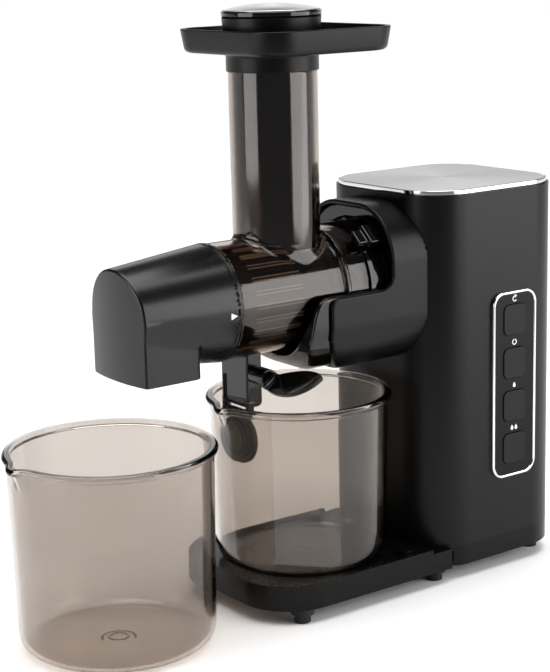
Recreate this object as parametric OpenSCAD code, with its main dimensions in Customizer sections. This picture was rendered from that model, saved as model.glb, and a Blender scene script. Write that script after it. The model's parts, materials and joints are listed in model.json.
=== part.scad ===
// Horizontal slow juicer: motor column, clear pressing drum, two cups.
// Millimetres, +Z up, table at z = 0, pulp end towards -Y, drum axis on x = 0.

/* [Motor column] */
// Width of the column, side to side
col_w = 111; // [100:1:140]
// Depth of the column, front to back
col_d = 115; // [112:1:150]
// Radius of the column's upright corners
col_r = 30; // [15:1:36]
// Height of the column's top edge above the table
col_top = 244.4; // [238:0.2:300]
// Front of the column behind the nose's cut-out edge
col_front = 21.3; // [20:0.1:24]
// Wall thickness of the plastic casings
wall = 2.6; // [2:0.1:3.2]
// Height of the bright trim band above the column
trim_h = 3; // [2:0.5:5]

/* [Base] */
// Width of the base tray
base_w = 112; // [100:1:140]
// Reach of the base tray in front of the nose's cut-out edge
base_reach = 99; // [96:1:120]
// Radius of the tray's front corners
base_r = 34; // [10:1:40]
// Height of the rubber feet below the base
foot_h = 9; // [6:0.5:12]
// Height of the base from its underside to the column seam
base_h = 12.8; // [12:0.2:18]
// Height of the tray's lip above the column seam
lip_h = 2.8; // [2:0.1:4]
// Radius of a foot's flange
foot_r = 7; // [5:0.5:9]

/* [Nose] */
// Height of the drum's axis above the table
axis_z = 191; // [188:1:193]
// Width of the nose that holds the drum
nose_w = 89.2; // [88:0.2:98]
// Height of the nose above the drum's axis
nose_up = 49; // [44:0.5:50]
// Height of the nose below the drum's axis
nose_down = 50; // [44:0.5:51]
// Radius of the nose's long edges
nose_r = 34; // [20:1:40]
// Reach of the nose's lower half in front of the cut-out's edge
nose_reach = 45; // [38:1:48]
// Reach of the glossy lip in front of the nose
lip_reach = 13; // [6:1:14]

/* [Drum] */
// Outer radius of the clear drum
drum_r = 34.8; // [33:0.1:36]
// Wall thickness of the clear drum
drum_wall = 2.6; // [2:0.1:3]
// Length of the drum in front of the nose's cut-out edge
drum_len = 103; // [100:1:112]
// Radius of the drum's locking ring
ring_r = 38.3; // [37.6:0.1:38.6]
// Outer radius of the feed chute
chute_r = 26.3; // [24:0.1:27]
// Wall thickness of the feed chute
chute_wall = 2.1; // [1.8:0.1:2.4]
// Distance of the chute's axis in front of the cut-out's edge
chute_y = 53; // [50:0.5:58]
// Height of the chute's shoulder, under the feed tray's collar
chute_top = 323; // [300:1:360]

/* [Auger] */
// Radius of the auger's flight
flight_r = 27.6; // [26:0.1:28]
// Radius of the auger's core
core_r = 14; // [12:0.5:18]
// Pitch of the auger's flight
flight_pitch = 36; // [30:1:45]
// Thickness of the auger's flight
flight_w = 5; // [3:0.5:7]
// Width across the flats of the drive hexagon
hex_af = 10.2; // [8:0.2:10.2]
// Radius of the auger's hub in the drum's seal
hub_r = 11; // [10:0.5:11.5]
// Radius of the auger's front journal
journal_r = 5; // [4:0.5:6]

/* [End cap] */
// Radius of the cap's rim round the drum
cap_r = 35.5; // [35.2:0.1:36.5]
// Length of the cap
cap_len = 65.7; // [56:0.1:70]
// Half width of the pulp outlet block
block_hw = 28.2; // [26:0.1:30]
// Depth of the pulp outlet block, front to back
block_len = 40.4; // [32:0.1:44]
// Height of the block's mouth below the drum's axis
block_drop = 36.6; // [36:0.2:42]

/* [Feed tray and pusher] */
// Width of the feed tray, side to side
tray_w = 102; // [80:1:120]
// Length of the feed tray, front to back
tray_l = 98; // [80:1:120]
// Offset of the tray's middle behind the chute's axis
tray_back = 9.5; // [0:0.5:14]
// Height of the feed tray's walls
tray_h = 14; // [10:0.5:24]
// Radius of the feed tray's corners
tray_r = 20; // [14:1:30]
// Height of the collar below the tray
collar_h = 10.5; // [8:0.5:16]
// Radius of the pusher's head
head_r = 29.3; // [28:0.1:32]
// Height of the pusher's head above the tray's floor
head_h = 23; // [16:0.5:30]
// Radius of the pusher's stem
stem_r = 23.3; // [20:0.1:23.6]

/* [Cups] */
// Radius of the juice cup's rim
juice_rim_r = 57.5; // [52:0.5:60]
// Height of the juice cup
juice_h = 105.3; // [90:0.1:107]
// Radius of the pulp cup's rim
pulp_rim_r = 62; // [52:0.5:70]
// Height of the pulp cup
pulp_h = 117.6; // [90:0.2:125]
// Wall thickness of the cups
cup_wall = 2.2; // [1.6:0.1:3]
// Radius of the curve round the cups' feet
cup_round = 12; // [6:1:16]
// Distance of the juice cup's axis in front of the cut-out's edge
juice_y = 39.2; // [38:0.1:41]
// Gap between the two cups' rims
cup_gap = 15.8; // [8:0.2:40]

/* [Spout and stopper] */
// Width of the juice spout
spout_w = 27; // [24:1:30]
// Depth of the juice spout, front to back
spout_d = 11; // [10.5:0.5:13]
// Height of the spout's mouth below the drum's axis
spout_drop = 64.5; // [60:0.5:66]
// Distance of the spout's front in front of the cut-out's edge
spout_y = 87; // [86:0.5:90]
// Radius of the rubber stopper
stopper_r = 15.5; // [11:0.5:16]
// Thickness of the rubber stopper
stopper_t = 7; // [4.5:0.5:7.5]
// Length of the tap lever's leaf
leaf_l = 69; // [40:1:72]
// Width of the tap lever's leaf
leaf_w = 20; // [14:1:22]

/* [Control panel] */
// Width of the control panel
panel_w = 37; // [30:1:40]
// Height of the control panel
panel_h = 120.5; // [110:0.5:150]
// Height of the panel's middle above the table
panel_z = 120.2; // [90:0.2:150]
// Distance of the panel's middle behind the column's axis
panel_back = 9.6; // [0:0.2:12]
// Width of a button
btn_w = 18.5; // [14:0.5:20]
// Height of a button
btn_h = 19.5; // [14:0.5:22]
// Spacing of the buttons
btn_pitch = 27.8; // [24:0.2:30]
// Travel of a button
btn_travel = 1.2; // [0.6:0.1:1.6]

/* [Gear train] */
// Distance between the drive axis and the idler axis
gear_a = 36; // [34:0.1:38]
// Teeth on the motor pinion
z_pinion = 18; // [17:1:20]
// Teeth on the idler's large wheel
z_wheel = 72; // [68:1:80]
// Teeth on the idler's small pinion
z_small = 15; // [14:1:16]
// Teeth on the output gear
z_out = 45; // [42:1:48]
// Radius of the output shaft
shaft_r = 6; // [6:0.1:6.4]
// Outer radius of the output bearings
bear_r = 14; // [12:0.5:14.5]
// Width of the output bearings
bear_w = 8; // [6:0.5:8]
// Outer radius of the motor can
motor_r = 38; // [30:1:40]
// Length of the motor can
motor_l = 60; // [50:1:64]

/* [Fits] */
// Radial clearance of a shaft or pin in its bearing
run_fit = 0.05; // [0.02:0.01:0.09]
// Gap between curved pieces that move past each other
slip_gap = 0.3; // [0.2:0.05:0.4]
// Gap round each button and round the release catch
key_gap = 0.3; // [0.2:0.05:0.6]

/* [Hidden] */
$fn = 96;

base_z = foot_h;
seam_z = base_z + base_h;
lip_z = seam_z + lip_h;
seat_z = seam_z;
trim_z = col_top + trim_h;
col_y = col_front + col_d / 2;
col_back = col_front + col_d;
side_x = col_w / 2;
nose_top = axis_z + nose_up;
nose_bottom = axis_z - nose_down;
nose_h = nose_up + nose_down;
nose_mid = (nose_top + nose_bottom) / 2;
bore_r = ring_r + slip_gap + 0.2;
drum_front = -drum_len;
spigot_l = 11;
spigot_r = cap_r - wall - slip_gap;
strainer_back = -30;
strainer_front = drum_front - spigot_l + 2;
strainer_r = min(drum_r - drum_wall, spigot_r - 2) - 0.2;
tray_floor_z = chute_top + collar_h;
neck_r = chute_r - 0.6;
head_z = tray_floor_z + wall;
pusher_top = head_z + head_h;
cap_front = drum_front - cap_len;
block_z = axis_z - block_drop;
pulp_y = -max(juice_y + juice_rim_r + cup_gap + pulp_rim_r, base_reach + pulp_rim_r - 3);
spout_z = axis_z - spout_drop;
mouth_y = -spout_y + spout_d / 2;
mouth_r = 3.5;
tap_y = mouth_y;
tap_z = spout_z + 20.5;
tap_r = 4;
tap_bar_r = 5.5;
tap_bore_r = 2.5;
stopper_back = 4.2;
pivot_y = -spout_y + 1.8;
pivot_z = spout_z - stopper_back - 0.2;
pivot_r = 1.25;
panel_y = col_y + panel_back;
face_x = side_x - 1.6;
btn_x = face_x + 0.7;
wheel_m = 2 * gear_a / (z_pinion + z_wheel);
out_m = 2 * gear_a / (z_small + z_out);
gear_front = col_front + wall;
gear_y = gear_front + bear_w + 3;
wheel_y = gear_y + 12;
cover_y = wheel_y + 9;
motor_y = cover_y + 4;
motor_back = motor_y + motor_l;
wheel_r = wheel_m * (z_wheel / 2 + 1);
case_r = wheel_r + 2.2;
rotor_y = motor_y + 13;
rotor_l = motor_l - 26;
rotor_r = motor_r * 0.62;
motor_shaft_r = 2.5;
idler_pin_r = 3;
seal_y = col_front - 12;
seal_r = 11;
seal_w = 4;
socket_y = -3.5;
auger_front = drum_front - 4;
auger_back = -1.5;
cap_boss_r = 10;
cap_boss_l = 43;

// A rounded rectangle about its own middle
module rrect(w, d, r) {
    square([w - 2 * r, d], center = true);
    square([w, d - 2 * r], center = true);
    for (x = [-1, 1], y = [-1, 1])
        translate([x * (w / 2 - r), y * (d / 2 - r)]) circle(r);
}

// Upright prism between two heights
module up(z0, z1) {
    translate([0, 0, z0]) linear_extrude(z1 - z0) children();
}

// Prism along Y between two depths; the outline's y is the height
module along_y(y0, y1) {
    translate([0, y1, 0]) rotate([90, 0, 0]) linear_extrude(y1 - y0) children();
}

// Prism along X between two sides; the outline's x is the depth and its y the height
module along_x(x0, x1) {
    translate([x0, 0, 0]) rotate([90, 0, 90]) linear_extrude(x1 - x0) children();
}

// Cylinder along Y on the drum's axis, or moved by dx and dz
module rod_y(r, y0, y1, dx = 0, dz = 0) {
    translate([dx, y1, axis_z + dz]) rotate([90, 0, 0]) cylinder(r = r, h = y1 - y0);
}

// Tube along Y on the drum's axis, or moved by dz
module tube_y(r_out, r_in, y0, y1, dz = 0) {
    difference() {
        rod_y(r_out, y0, y1, 0, dz);
        rod_y(r_in, y0 - 1, y1 + 1, 0, dz);
    }
}

// Cone along Y on the drum's axis, from r0 at y0 to r1 at y1
module cone_y(r0, r1, y0, y1) {
    translate([0, y1, axis_z]) rotate([90, 0, 0]) cylinder(r1 = r1, r2 = r0, h = y1 - y0);
}

// Outlines of the base, grown or shrunk by g all round
module column_outline(g = 0) {
    translate([0, col_y]) rrect(col_w + 2 * g, col_d + 2 * g, col_r + g);
}

module tray_outline(g = 0) {
    l = base_reach + col_y;
    translate([0, col_y - l / 2]) rrect(base_w + 2 * g, l + 2 * g, base_r + g);
}

module base_outline(g = 0) {
    column_outline(g);
    difference() {
        tray_outline(g);
        translate([-base_w, col_y - base_r - 8]) square([2 * base_w, col_d]);
    }
}

// Places of the feet on the base: one in the middle and three on each side
foot_x = base_w / 2 - 9;
foot_spots = concat([[0, 0]], [for (s = [-1, 1]) each [
    [s * foot_x, -base_reach + 24],
    [s * (foot_x - 3), col_front + 11],
    [s * (foot_x - 10), col_back - 14]
]]);

// Places of the screws in the bottom cover
screw_x = base_w / 2 - 24;
screw_spots = [for (s = [-1, 1]) each [
    [s * screw_x, -base_reach + 14],
    [s * (screw_x + 8), -20],
    [s * 20, col_back - wall - 5]
]];

// Moulded base: cup tray in front, column foot behind, bosses for the screws inside
module base_tray() {
    cavity_z = seam_z - wall;
    color("#1b1b1c") {
        base_tray_shell(cavity_z);
        for (p = screw_spots) translate([p[0], p[1], base_z + 2.6]) difference() {
            cylinder(r = 4, h = cavity_z - base_z - 2.5);
            translate([0, 0, -1]) cylinder(r = 1.7, h = 7);
        }
    }
}

module base_tray_shell(cavity_z) {
    difference() {
        union() {
            up(base_z, seam_z) base_outline();
            difference() {
                up(seam_z - 1, lip_z) difference() {
                    tray_outline();
                    translate([-base_w, col_front - 0.1]) square([2 * base_w, col_d + 1]);
                }
                up(seam_z + 0.9, lip_z + 1) tray_outline(-3.4);
            }
            for (s = [-1, 1])
                translate([s * (base_w / 2 - 10), 6, seam_z]) cylinder(r = 5, h = lip_h + 1.6);
        }
        translate([0, -juice_y, seat_z]) cylinder(r = juice_rim_r - 6, h = 10);
        up(base_z - 1, cavity_z) tray_outline(-wall);
        up(base_z - 1, cavity_z) column_outline(-wall);
        up(cavity_z - 1, seam_z + 1) column_outline(-wall - 9);
    }
}

// Plate that closes the base from below
module bottom_cover() {
    color("#202021")
    difference() {
        union() {
            up(base_z + 0.6, base_z + 2.6) tray_outline(-wall - 0.3);
            up(base_z + 0.6, base_z + 2.6) column_outline(-wall - 0.3);
        }
        for (p = foot_spots) translate([p[0], p[1], base_z]) cylinder(r = 2.6, h = 4);
        for (p = screw_spots) translate([p[0], p[1], base_z]) cylinder(r = 1.7, h = 4);
        for (i = [-3:3])
            translate([i * 8 - 1.5, col_y - 18, base_z]) cube([3, 36, 4]);
    }
}

// Stepped rubber feet, each with a stem through the cover
module rubber_feet() {
    color("#151515")
    for (p = foot_spots) translate([p[0], p[1], 0]) {
        cylinder(r = foot_r - 2, h = foot_h - 4);
        translate([0, 0, foot_h - 4]) cylinder(r = foot_r, h = 4);
        cylinder(r = foot_r - 3, h = foot_h + 0.6);
        cylinder(r = 2.6, h = foot_h + 5);
    }
}

// Screws of the bottom cover
module base_screws() {
    color("silver")
    for (p = screw_spots) translate([p[0], p[1], base_z + 2.6]) {
        translate([0, 0, -2.9]) difference() {
            cylinder(r = 3, h = 0.9);
            translate([0, 0, -1]) cylinder(r = 1.2, h = 1.6, $fn = 6);
        }
        translate([0, 0, -2]) cylinder(r = 1.7, h = 7);
    }
}

// Column casing: open below and above, with openings for nose, panel, cord and air
module column_housing() {
    color("#1c1c1d")
    difference() {
        up(seam_z, col_top) column_outline();
        up(seam_z - 1, col_top + 1) column_outline(-wall);
        rod_y(case_r, col_front - 5, col_front + 10);
        along_x(side_x - wall - 5, side_x + 5)
            translate([panel_y, panel_z]) rrect(panel_w, panel_h, 9);
        translate([0, col_back + 5, base_z + 30]) rotate([90, 0, 0]) cylinder(r = 6, h = 20);
        for (i = [-4:4])
            translate([i * 7 - 1.5, col_back - 8, axis_z - 25]) cube([3, 16, 42]);
    }
}

// Bright band that carries the top plate
module top_trim() {
    edge = 1.5;
    color("#e8e8ea")
    difference() {
        union() {
            up(col_top, trim_z) column_outline(-edge);
            up(col_top - 5, col_top) column_outline(-wall);
        }
        up(trim_z - 1.2, trim_z + 1) column_outline(-edge - 1.2);
        up(col_top - 6, trim_z + 1) column_outline(-edge - 6);
    }
}

// Brushed plate let into the band
module top_plate() {
    color("#c9cacc") up(trim_z - 1.2, trim_z) column_outline(-2.7);
}

// Bright ring round the control strip
module panel_bezel() {
    color("#e4e4e6")
    difference() {
        along_x(side_x - wall - 2, side_x + 0.8)
            translate([panel_y, panel_z]) rrect(panel_w, panel_h, 9);
        along_x(side_x - wall - 3, side_x + 2)
            translate([panel_y, panel_z]) rrect(panel_w - 4, panel_h - 4, 7);
    }
}

// Height of each button's middle, from the top one down
function btn_z(i) = panel_z + (1.5 - i) * btn_pitch;

// Recessed dark face with a window for each button and two board posts
module panel_face() {
    color("#2a2b2c") {
        difference() {
            along_x(face_x - 2.2, face_x)
                translate([panel_y, panel_z]) rrect(panel_w - 4, panel_h - 4, 7);
            for (i = [0:3])
                along_x(face_x - 5, face_x + 1) translate([panel_y, btn_z(i)])
                    rrect(btn_w + 2 * key_gap, btn_h + 2 * key_gap, 4 + key_gap);
        }
        for (s = [-1, 1])
            translate([face_x - 5.7, panel_y, panel_z + s * (panel_h / 2 - 5)])
                rotate([0, 90, 0]) cylinder(r = 2, h = 4);
    }
}

// One key with the flange that keeps it behind the face
module button(i) {
    color("#262728") {
        along_x(face_x - 2.6, btn_x) translate([panel_y, btn_z(i)]) rrect(btn_w, btn_h, 4);
        along_x(face_x - 3, face_x - 2.4)
            translate([panel_y, btn_z(i)]) rrect(btn_w + 2, btn_h + 2, 5);
    }
}

module button_reverse() { button(0); }
module button_off() { button(1); }
module button_soft() { button(2); }
module button_hard() { button(3); }

// Board with one push switch under each button
module switch_board() {
    color("#2f5d3a") {
        along_x(face_x - 7.3, face_x - 5.7)
            translate([panel_y, panel_z]) rrect(panel_w - 8, panel_h - 6, 2);
        for (i = [0:3])
            translate([face_x - 5.7, panel_y - 3, btn_z(i) - 3])
                cube([2.7 - btn_travel - 0.1, 6, 6]);
    }
}

// Supply and motor board low in the column
module control_board() {
    bx = -side_x + wall + 8;
    bz = seam_z + 14;
    color("#2f5d3a") translate([bx, col_y - 30, bz]) cube([1.6, 60, 70]);
    color("#404040") {
        translate([bx + 1.6, col_y - 24, bz + 8]) cube([18, 22, 26]);
        translate([bx + 1.6, col_y + 8, bz + 10]) cube([12, 16, 18]);
        translate([bx + 1.6, col_y + 12, bz + 50]) rotate([0, 90, 0]) cylinder(r = 8, h = 22);
        translate([bx + 1.6, col_y - 22, bz + 44]) cube([10, 20, 20]);
    }
}

// Rubber bush where a supply lead would enter
module cord_gland() {
    color("#171717")
    translate([0, col_back, base_z + 30]) rotate([90, 0, 0])
        difference() {
            union() {
                cylinder(r = 6, h = wall);
                translate([0, 0, -1.6]) cylinder(r = 8, h = 1.6);
                translate([0, 0, wall]) cylinder(r = 8, h = 1.6);
            }
            translate([0, 0, -3]) cylinder(r = 3.6, h = 10);
        }
}

// Points of an arc in the depth and height plane
function arc(cy, cz, r, a0, a1, n = 8) =
    [for (i = [0:n]) [cy + r * cos(a0 + (a1 - a0) * i / n), cz + r * sin(a0 + (a1 - a0) * i / n)]];

// Side outline of a nose part: upper edge at y_up, lower half reaching forward to y_low
module nose_side(y_up, y_low, z_cut, r_in, r_out, sweep) {
    polygon(concat(
        [[col_front + 20, nose_top + 5], [y_up, nose_top + 5]],
        arc(y_up - r_in, z_cut + r_in, r_in, 0, -90),
        arc(y_low + r_out, z_cut - r_out, r_out, 90, 180),
        [[y_low - 2, axis_z - 18]],
        arc(y_low - 2 + sweep, axis_z - 18, sweep, 180, 262),
        [[col_front + 20, nose_bottom - 5]]
    ));
}

// Section of the nose across the drum's axis, shrunk by g
module nose_section(g = 0) {
    translate([0, nose_mid]) rrect(nose_w - 2 * g, nose_h - 2 * g, nose_r - g);
}

// Matt collar that stands out of the column, cut away above the drum
module nose_shell() {
    color("#232324")
    difference() {
        intersection() {
            along_y(-nose_reach - 15, col_front + 12) nose_section();
            along_x(-nose_w, nose_w)
                nose_side(0.5, -nose_reach + 1, axis_z + 0.3, 8, 6, 34);
        }
        along_y(-nose_reach - 20, col_front + 20) nose_section(wall);
        up(seam_z, col_top + 5) column_outline();
    }
}

// Glossy lining: bored for the drum's ring, with a lip that reaches in front of the nose
module nose_liner() {
    color("#0d0d0e")
    difference() {
        intersection() {
            along_y(-nose_reach - lip_reach - 2, col_front) nose_section(wall);
            along_x(-nose_w, nose_w)
                nose_side(4, -nose_reach - lip_reach, axis_z + 1, 3, 8, 30);
        }
        rod_y(bore_r, -nose_reach - 30, col_front - 7.3);
        rod_y(bear_r + 4.2, 0, col_front + 5);
        up(seam_z, col_top + 5) column_outline();
        catch_block(key_gap, catch_travel + 1);
        safety_block(0.2);
        safety_plunger(0.2);
    }
}

catch_angle = 48;
catch_travel = 3;

// Space of the release catch, grown by g and reaching b further back
module catch_block(g = 0, b = 0) {
    translate([0, 0, axis_z]) rotate([0, -catch_angle, 0])
        translate([bore_r + 0.6 - g, -9 - g, -7 - g]) cube([6 + 2 * g, 17 + 2 * g + b, 14 + 2 * g]);
}

// Sliding catch that locks the drum's ring
module release_catch() {
    color("#111112") {
        catch_block();
        translate([0, 0, axis_z]) rotate([0, -catch_angle, 0])
            translate([bore_r + 0.6, -16, -5]) cube([4, 7, 10]);
    }
}

// Coil that pushes the catch forward
module catch_spring() {
    gap = catch_travel + 1 + key_gap;
    color("silver")
    translate([0, 0, axis_z]) rotate([0, -catch_angle, 0])
        translate([bore_r + 3.6, 8 + gap / 2 + 0.1, 0]) rotate([90, 0, 0])
            rotate_extrude() translate([1.8, 0]) square([0.6, gap - 0.4], center = true);
}

// Body of the interlock switch, let into the lining behind the drum
module safety_block(g = 0) {
    translate([-bore_r * 0.75 - 4 - g, col_front - 7.3 + 1 - g, axis_z - 5 - g])
        cube([8 + 2 * g, 5 + 2 * g, 10 + 2 * g]);
}

module safety_plunger(g = 0) {
    translate([-bore_r * 0.75, col_front - 5.9, axis_z])
        rotate([90, 0, 0]) cylinder(r = 1.5 + g, h = 2 + 2 * g);
}

module safety_switch() {
    color("#303030") {
        safety_block();
        safety_plunger();
    }
}

// Outline of the gearbox: two round ends joined, grown by g
module case_outline(g = 0) {
    for (dz = [0, -gear_a]) translate([0, axis_z + dz]) circle(case_r + g);
    translate([-case_r - g, axis_z - gear_a]) square([2 * (case_r + g), gear_a]);
}

boss_spots = [for (s = [-1, 1], dz = [0, -gear_a]) [s * (case_r + 3), axis_z + dz]];
screw_head_r = 2.8;
screw_head_h = 2;

// Gearbox casting with the snout that carries the output bearings
module gearbox_case() {
    color("#8f9295")
    difference() {
        union() {
            intersection() {
                along_y(gear_front, cover_y) case_outline(2.4);
                up(seam_z, col_top) column_outline(-wall - 0.3);
            }
            rod_y(bear_r + 3.5, seal_y, gear_front + 1);
            for (p = boss_spots) translate([p[0], cover_y, p[1]])
                rotate([90, 0, 0]) cylinder(r = 4, h = 12);
        }
        along_y(gear_front + bear_w + 1.4, cover_y + 1) case_outline();
        rod_y(shaft_r + 1, seal_y - 1, gear_front + 20);
        rod_y(bear_r, seal_y + seal_w, seal_y + seal_w + bear_w);
        rod_y(seal_r, seal_y - 1, seal_y + seal_w);
        rod_y(bear_r, gear_front + 1.4, gear_front + 20);
        rod_y(idler_pin_r, gear_front + 4, gear_front + 12, 0, -gear_a);
        for (p = boss_spots) translate([p[0], cover_y + 1, p[1]])
            rotate([90, 0, 0]) cylinder(r = 1.5, h = 10);
    }
}

// Rear cover of the gearbox, which carries the motor
module gearbox_cover() {
    color("#85888b")
    difference() {
        union() {
            along_y(cover_y, motor_y) case_outline(2.4);
            rod_y(motor_r - 6, cover_y, motor_y);
            for (p = boss_spots) translate([p[0], motor_y, p[1]])
                rotate([90, 0, 0]) cylinder(r = 4, h = 4);
        }
        rod_y(motor_shaft_r + 2, cover_y - 1, motor_y + 1);
        rod_y(idler_pin_r, cover_y - 1, cover_y + 2.5, 0, -gear_a);
        for (p = boss_spots) translate([p[0], motor_y + 1, p[1]]) rotate([90, 0, 0]) {
            cylinder(r = 1.5, h = 10);
            cylinder(r = screw_head_r + 0.1, h = screw_head_h + 1.1);
        }
    }
}

// Screws that hold the cover on the case
module gearbox_screws() {
    color("silver")
    for (p = boss_spots) translate([p[0], motor_y, p[1]]) rotate([90, 0, 0]) {
        translate([0, 0, screw_head_h - 0.1]) cylinder(r = 1.5, h = 10.5);
        difference() {
            cylinder(r = screw_head_r, h = screw_head_h);
            translate([0, 0, -1]) cylinder(r = 1.3, h = 2, $fn = 6);
        }
    }
}

module front_bearing() {
    y0 = seal_y + seal_w;
    color("#b9bcc0") tube_y(bear_r, shaft_r + run_fit, y0, y0 + bear_w);
}

module rear_bearing() {
    y0 = gear_front + 1.4;
    color("#b9bcc0") tube_y(bear_r, shaft_r + run_fit, y0, y0 + bear_w);
}

// Lip seal that keeps juice out of the gearbox
module shaft_seal() {
    color("#3a2a22") tube_y(seal_r, shaft_r + run_fit, seal_y, seal_y + seal_w);
}

// Output shaft: round in its bearings, hexagonal where the auger fits over it
module output_shaft() {
    hex_r = hex_af / 2 / cos(30);
    color("#a8abae") {
        rod_y(shaft_r, seal_y - 0.2, gear_y + 10);
        translate([0, seal_y, axis_z]) rotate([90, 0, 0])
            cylinder(r = hex_r, h = seal_y - socket_y - 0.5, $fn = 6);
    }
}

// Involute of a pressure angle, in degrees
function inv(a) = tan(a) * 180 / PI - a;

press_angle = 25;
backlash = 0.14;

// Half angle of a tooth at radius r of a gear with module m and z teeth
function half_tooth(m, z, r) =
    let (rb = m * z / 2 * cos(press_angle), rr = max(r, rb))
    90 / z - backlash / (m * z) * 180 / PI + inv(press_angle) - inv(acos(min(1, rb / rr)));

// Outline of a spur gear with a tooth at the angle a0
module gear_outline(m, z, a0) {
    r_root = m * (z / 2 - 1.15);
    r_tip = m * (z / 2 + 0.88);
    steps = [for (i = [0:3]) r_root + (r_tip - r_root) * i / 3];
    polygon([for (k = [0:z - 1], s = [-1, 1], i = [0:3])
        let (r = s < 0 ? steps[i] : steps[3 - i], a = a0 + k * 360 / z + s * half_tooth(m, z, r))
        [r * cos(a), r * sin(a)]]);
}

// Spur gear along Y, moved down by dz
module gear_y_axis(m, z, a0, y0, y1, dz = 0) {
    translate([0, 0, axis_z + dz]) along_y(y0, y1) gear_outline(m, z, a0);
}

module output_gear() {
    color("#e2dfd2")
    difference() {
        union() {
            gear_y_axis(out_m, z_out, -90 + 180 / z_out, gear_y, gear_y + 10);
            rod_y(shaft_r + 5, gear_y - 1, gear_y + 10);
        }
        rod_y(shaft_r, gear_y - 2, gear_y + 11);
    }
}

// Double wheel that turns on its own pin
module idler_gear() {
    color("#dcd8c8")
    difference() {
        union() {
            gear_y_axis(wheel_m, z_wheel, 90 + 180 / z_wheel, wheel_y, wheel_y + 6, -gear_a);
            gear_y_axis(out_m, z_small, 90, gear_y - 0.6, wheel_y + 0.5, -gear_a);
        }
        rod_y(idler_pin_r + run_fit, gear_y - 3, wheel_y + 8, 0, -gear_a);
    }
}

module idler_pin() {
    color("#a8abae") rod_y(idler_pin_r, gear_front + 4, cover_y + 2.5, 0, -gear_a);
}

// Steel can of the motor, closed behind
module motor_can() {
    color("#9a9da1")
    difference() {
        rod_y(motor_r, motor_y, motor_back);
        rod_y(motor_r - 1.6, motor_y - 1, motor_back - 3);
        rod_y(8, motor_back - 8, motor_back + 1);
    }
}

module motor_front_bell() {
    color("#8b8e92")
    difference() {
        rod_y(motor_r - 1.6, motor_y, motor_y + 3);
        rod_y(8, motor_y - 1, motor_y + 4);
    }
}

// Two curved magnets against the can
module motor_magnets() {
    color("#4a4a4c")
    difference() {
        tube_y(motor_r - 1.6, rotor_r + 0.8, rotor_y, rotor_y + rotor_l);
        translate([-6, rotor_y - 1, axis_z - motor_r]) cube([12, rotor_l + 2, 2 * motor_r]);
    }
}

module motor_bearings() {
    color("#b9bcc0") {
        tube_y(8, motor_shaft_r + run_fit, motor_y, motor_y + 4);
        tube_y(8, motor_shaft_r + run_fit, motor_back - 4, motor_back);
    }
}

// Laminated core with its slots
module rotor_core() {
    color("#8a5a34")
    difference() {
        rod_y(rotor_r, rotor_y, rotor_y + rotor_l);
        rod_y(motor_shaft_r, rotor_y - 1, rotor_y + rotor_l + 1);
        for (i = [0:9])
            translate([0, rotor_y - 1, axis_z]) rotate([0, i * 36, 0])
                translate([-1.4, 0, rotor_r - 7]) cube([2.8, rotor_l + 2, 8]);
    }
}

module rotor_shaft() {
    color("#b4b7ba") rod_y(motor_shaft_r, wheel_y - 0.5, motor_back - 0.5);
}

module motor_pinion() {
    color("#c2a25a")
    difference() {
        gear_y_axis(wheel_m, z_pinion, -90, wheel_y - 0.3, cover_y - 1.4);
        rod_y(motor_shaft_r, wheel_y - 1, cover_y);
    }
}

module commutator() {
    color("#b06a3a") tube_y(8, motor_shaft_r, rotor_y + rotor_l, motor_back - 5);
}

// Two brush holders beside the commutator
module brush_holders() {
    y0 = rotor_y + rotor_l + 2;
    color("#7a6a3c")
    for (s = [-1, 1])
        translate([s * 14.4 - 6, y0, axis_z - 3.5]) cube([12, 5, 7]);
}

// Fan on the rotor's shaft
module cooling_fan() {
    fan_y = motor_y + 5;
    color("#d9d9d2") {
        tube_y(9, motor_shaft_r, fan_y, fan_y + 6);
        for (i = [0:8])
            translate([0, fan_y + 0.5, axis_z]) rotate([0, i * 40 + 7, 0])
                translate([-0.8, 0, 7]) cube([1.6, 5, motor_r * 0.5]);
    }
}

// Clear drum with the feed chute standing on it
module drum() {
    in_r = drum_r - drum_wall;
    color("#6a5a4e", 0.45)
    difference() {
        union() {
            rod_y(drum_r, drum_front, 3);
            rod_y(spigot_r, drum_front - spigot_l, drum_front + 1);
            rod_y(drum_r + 2.8, -28.5, -26);
            rod_y(drum_r + 2, -27, -11.2);
            translate([0, -chute_y, axis_z]) cylinder(r = chute_r, h = chute_top - axis_z);
            translate([0, -chute_y, axis_z]) cylinder(r = neck_r, h = tray_floor_z - axis_z);
        }
        rod_y(in_r, drum_front + 0.5, 0.5);
        rod_y(spigot_r - 2, drum_front - spigot_l - 1, drum_front + 1);
        rod_y(hub_r + 1, 0, 4);
        translate([0, -chute_y, axis_z])
            cylinder(r = chute_r - chute_wall, h = tray_floor_z - axis_z + 1);
        translate([0, mouth_y, axis_z - drum_r - 5]) cylinder(r = mouth_r, h = 20);
    }
}

// Black locking ring on the drum's rear end, with three lugs
module drum_ring() {
    color("#0f0f10")
    difference() {
        union() {
            rod_y(ring_r - 1, -11.2, 8);
            rod_y(ring_r, -11.2, -8);
            for (a = [0, 120, 240])
                translate([0, 2, axis_z]) rotate([0, a, 0])
                    translate([-6, 0, 0]) cube([12, 6, ring_r - 0.4]);
        }
        rod_y(drum_r, -12, 3);
        rod_y(hub_r + 3, 2, 9);
    }
}

// Ring seal between the drum's rear wall and the auger
module drum_seal() {
    color("#c9c6c0") tube_y(hub_r + 3, hub_r + run_fit, 3, 7);
}

// Shaft of the feed chute, cut through the top of the strainer
module chute_way() {
    translate([0, -chute_y, axis_z]) cylinder(r = chute_r - chute_wall, h = drum_r + 10);
}

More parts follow.
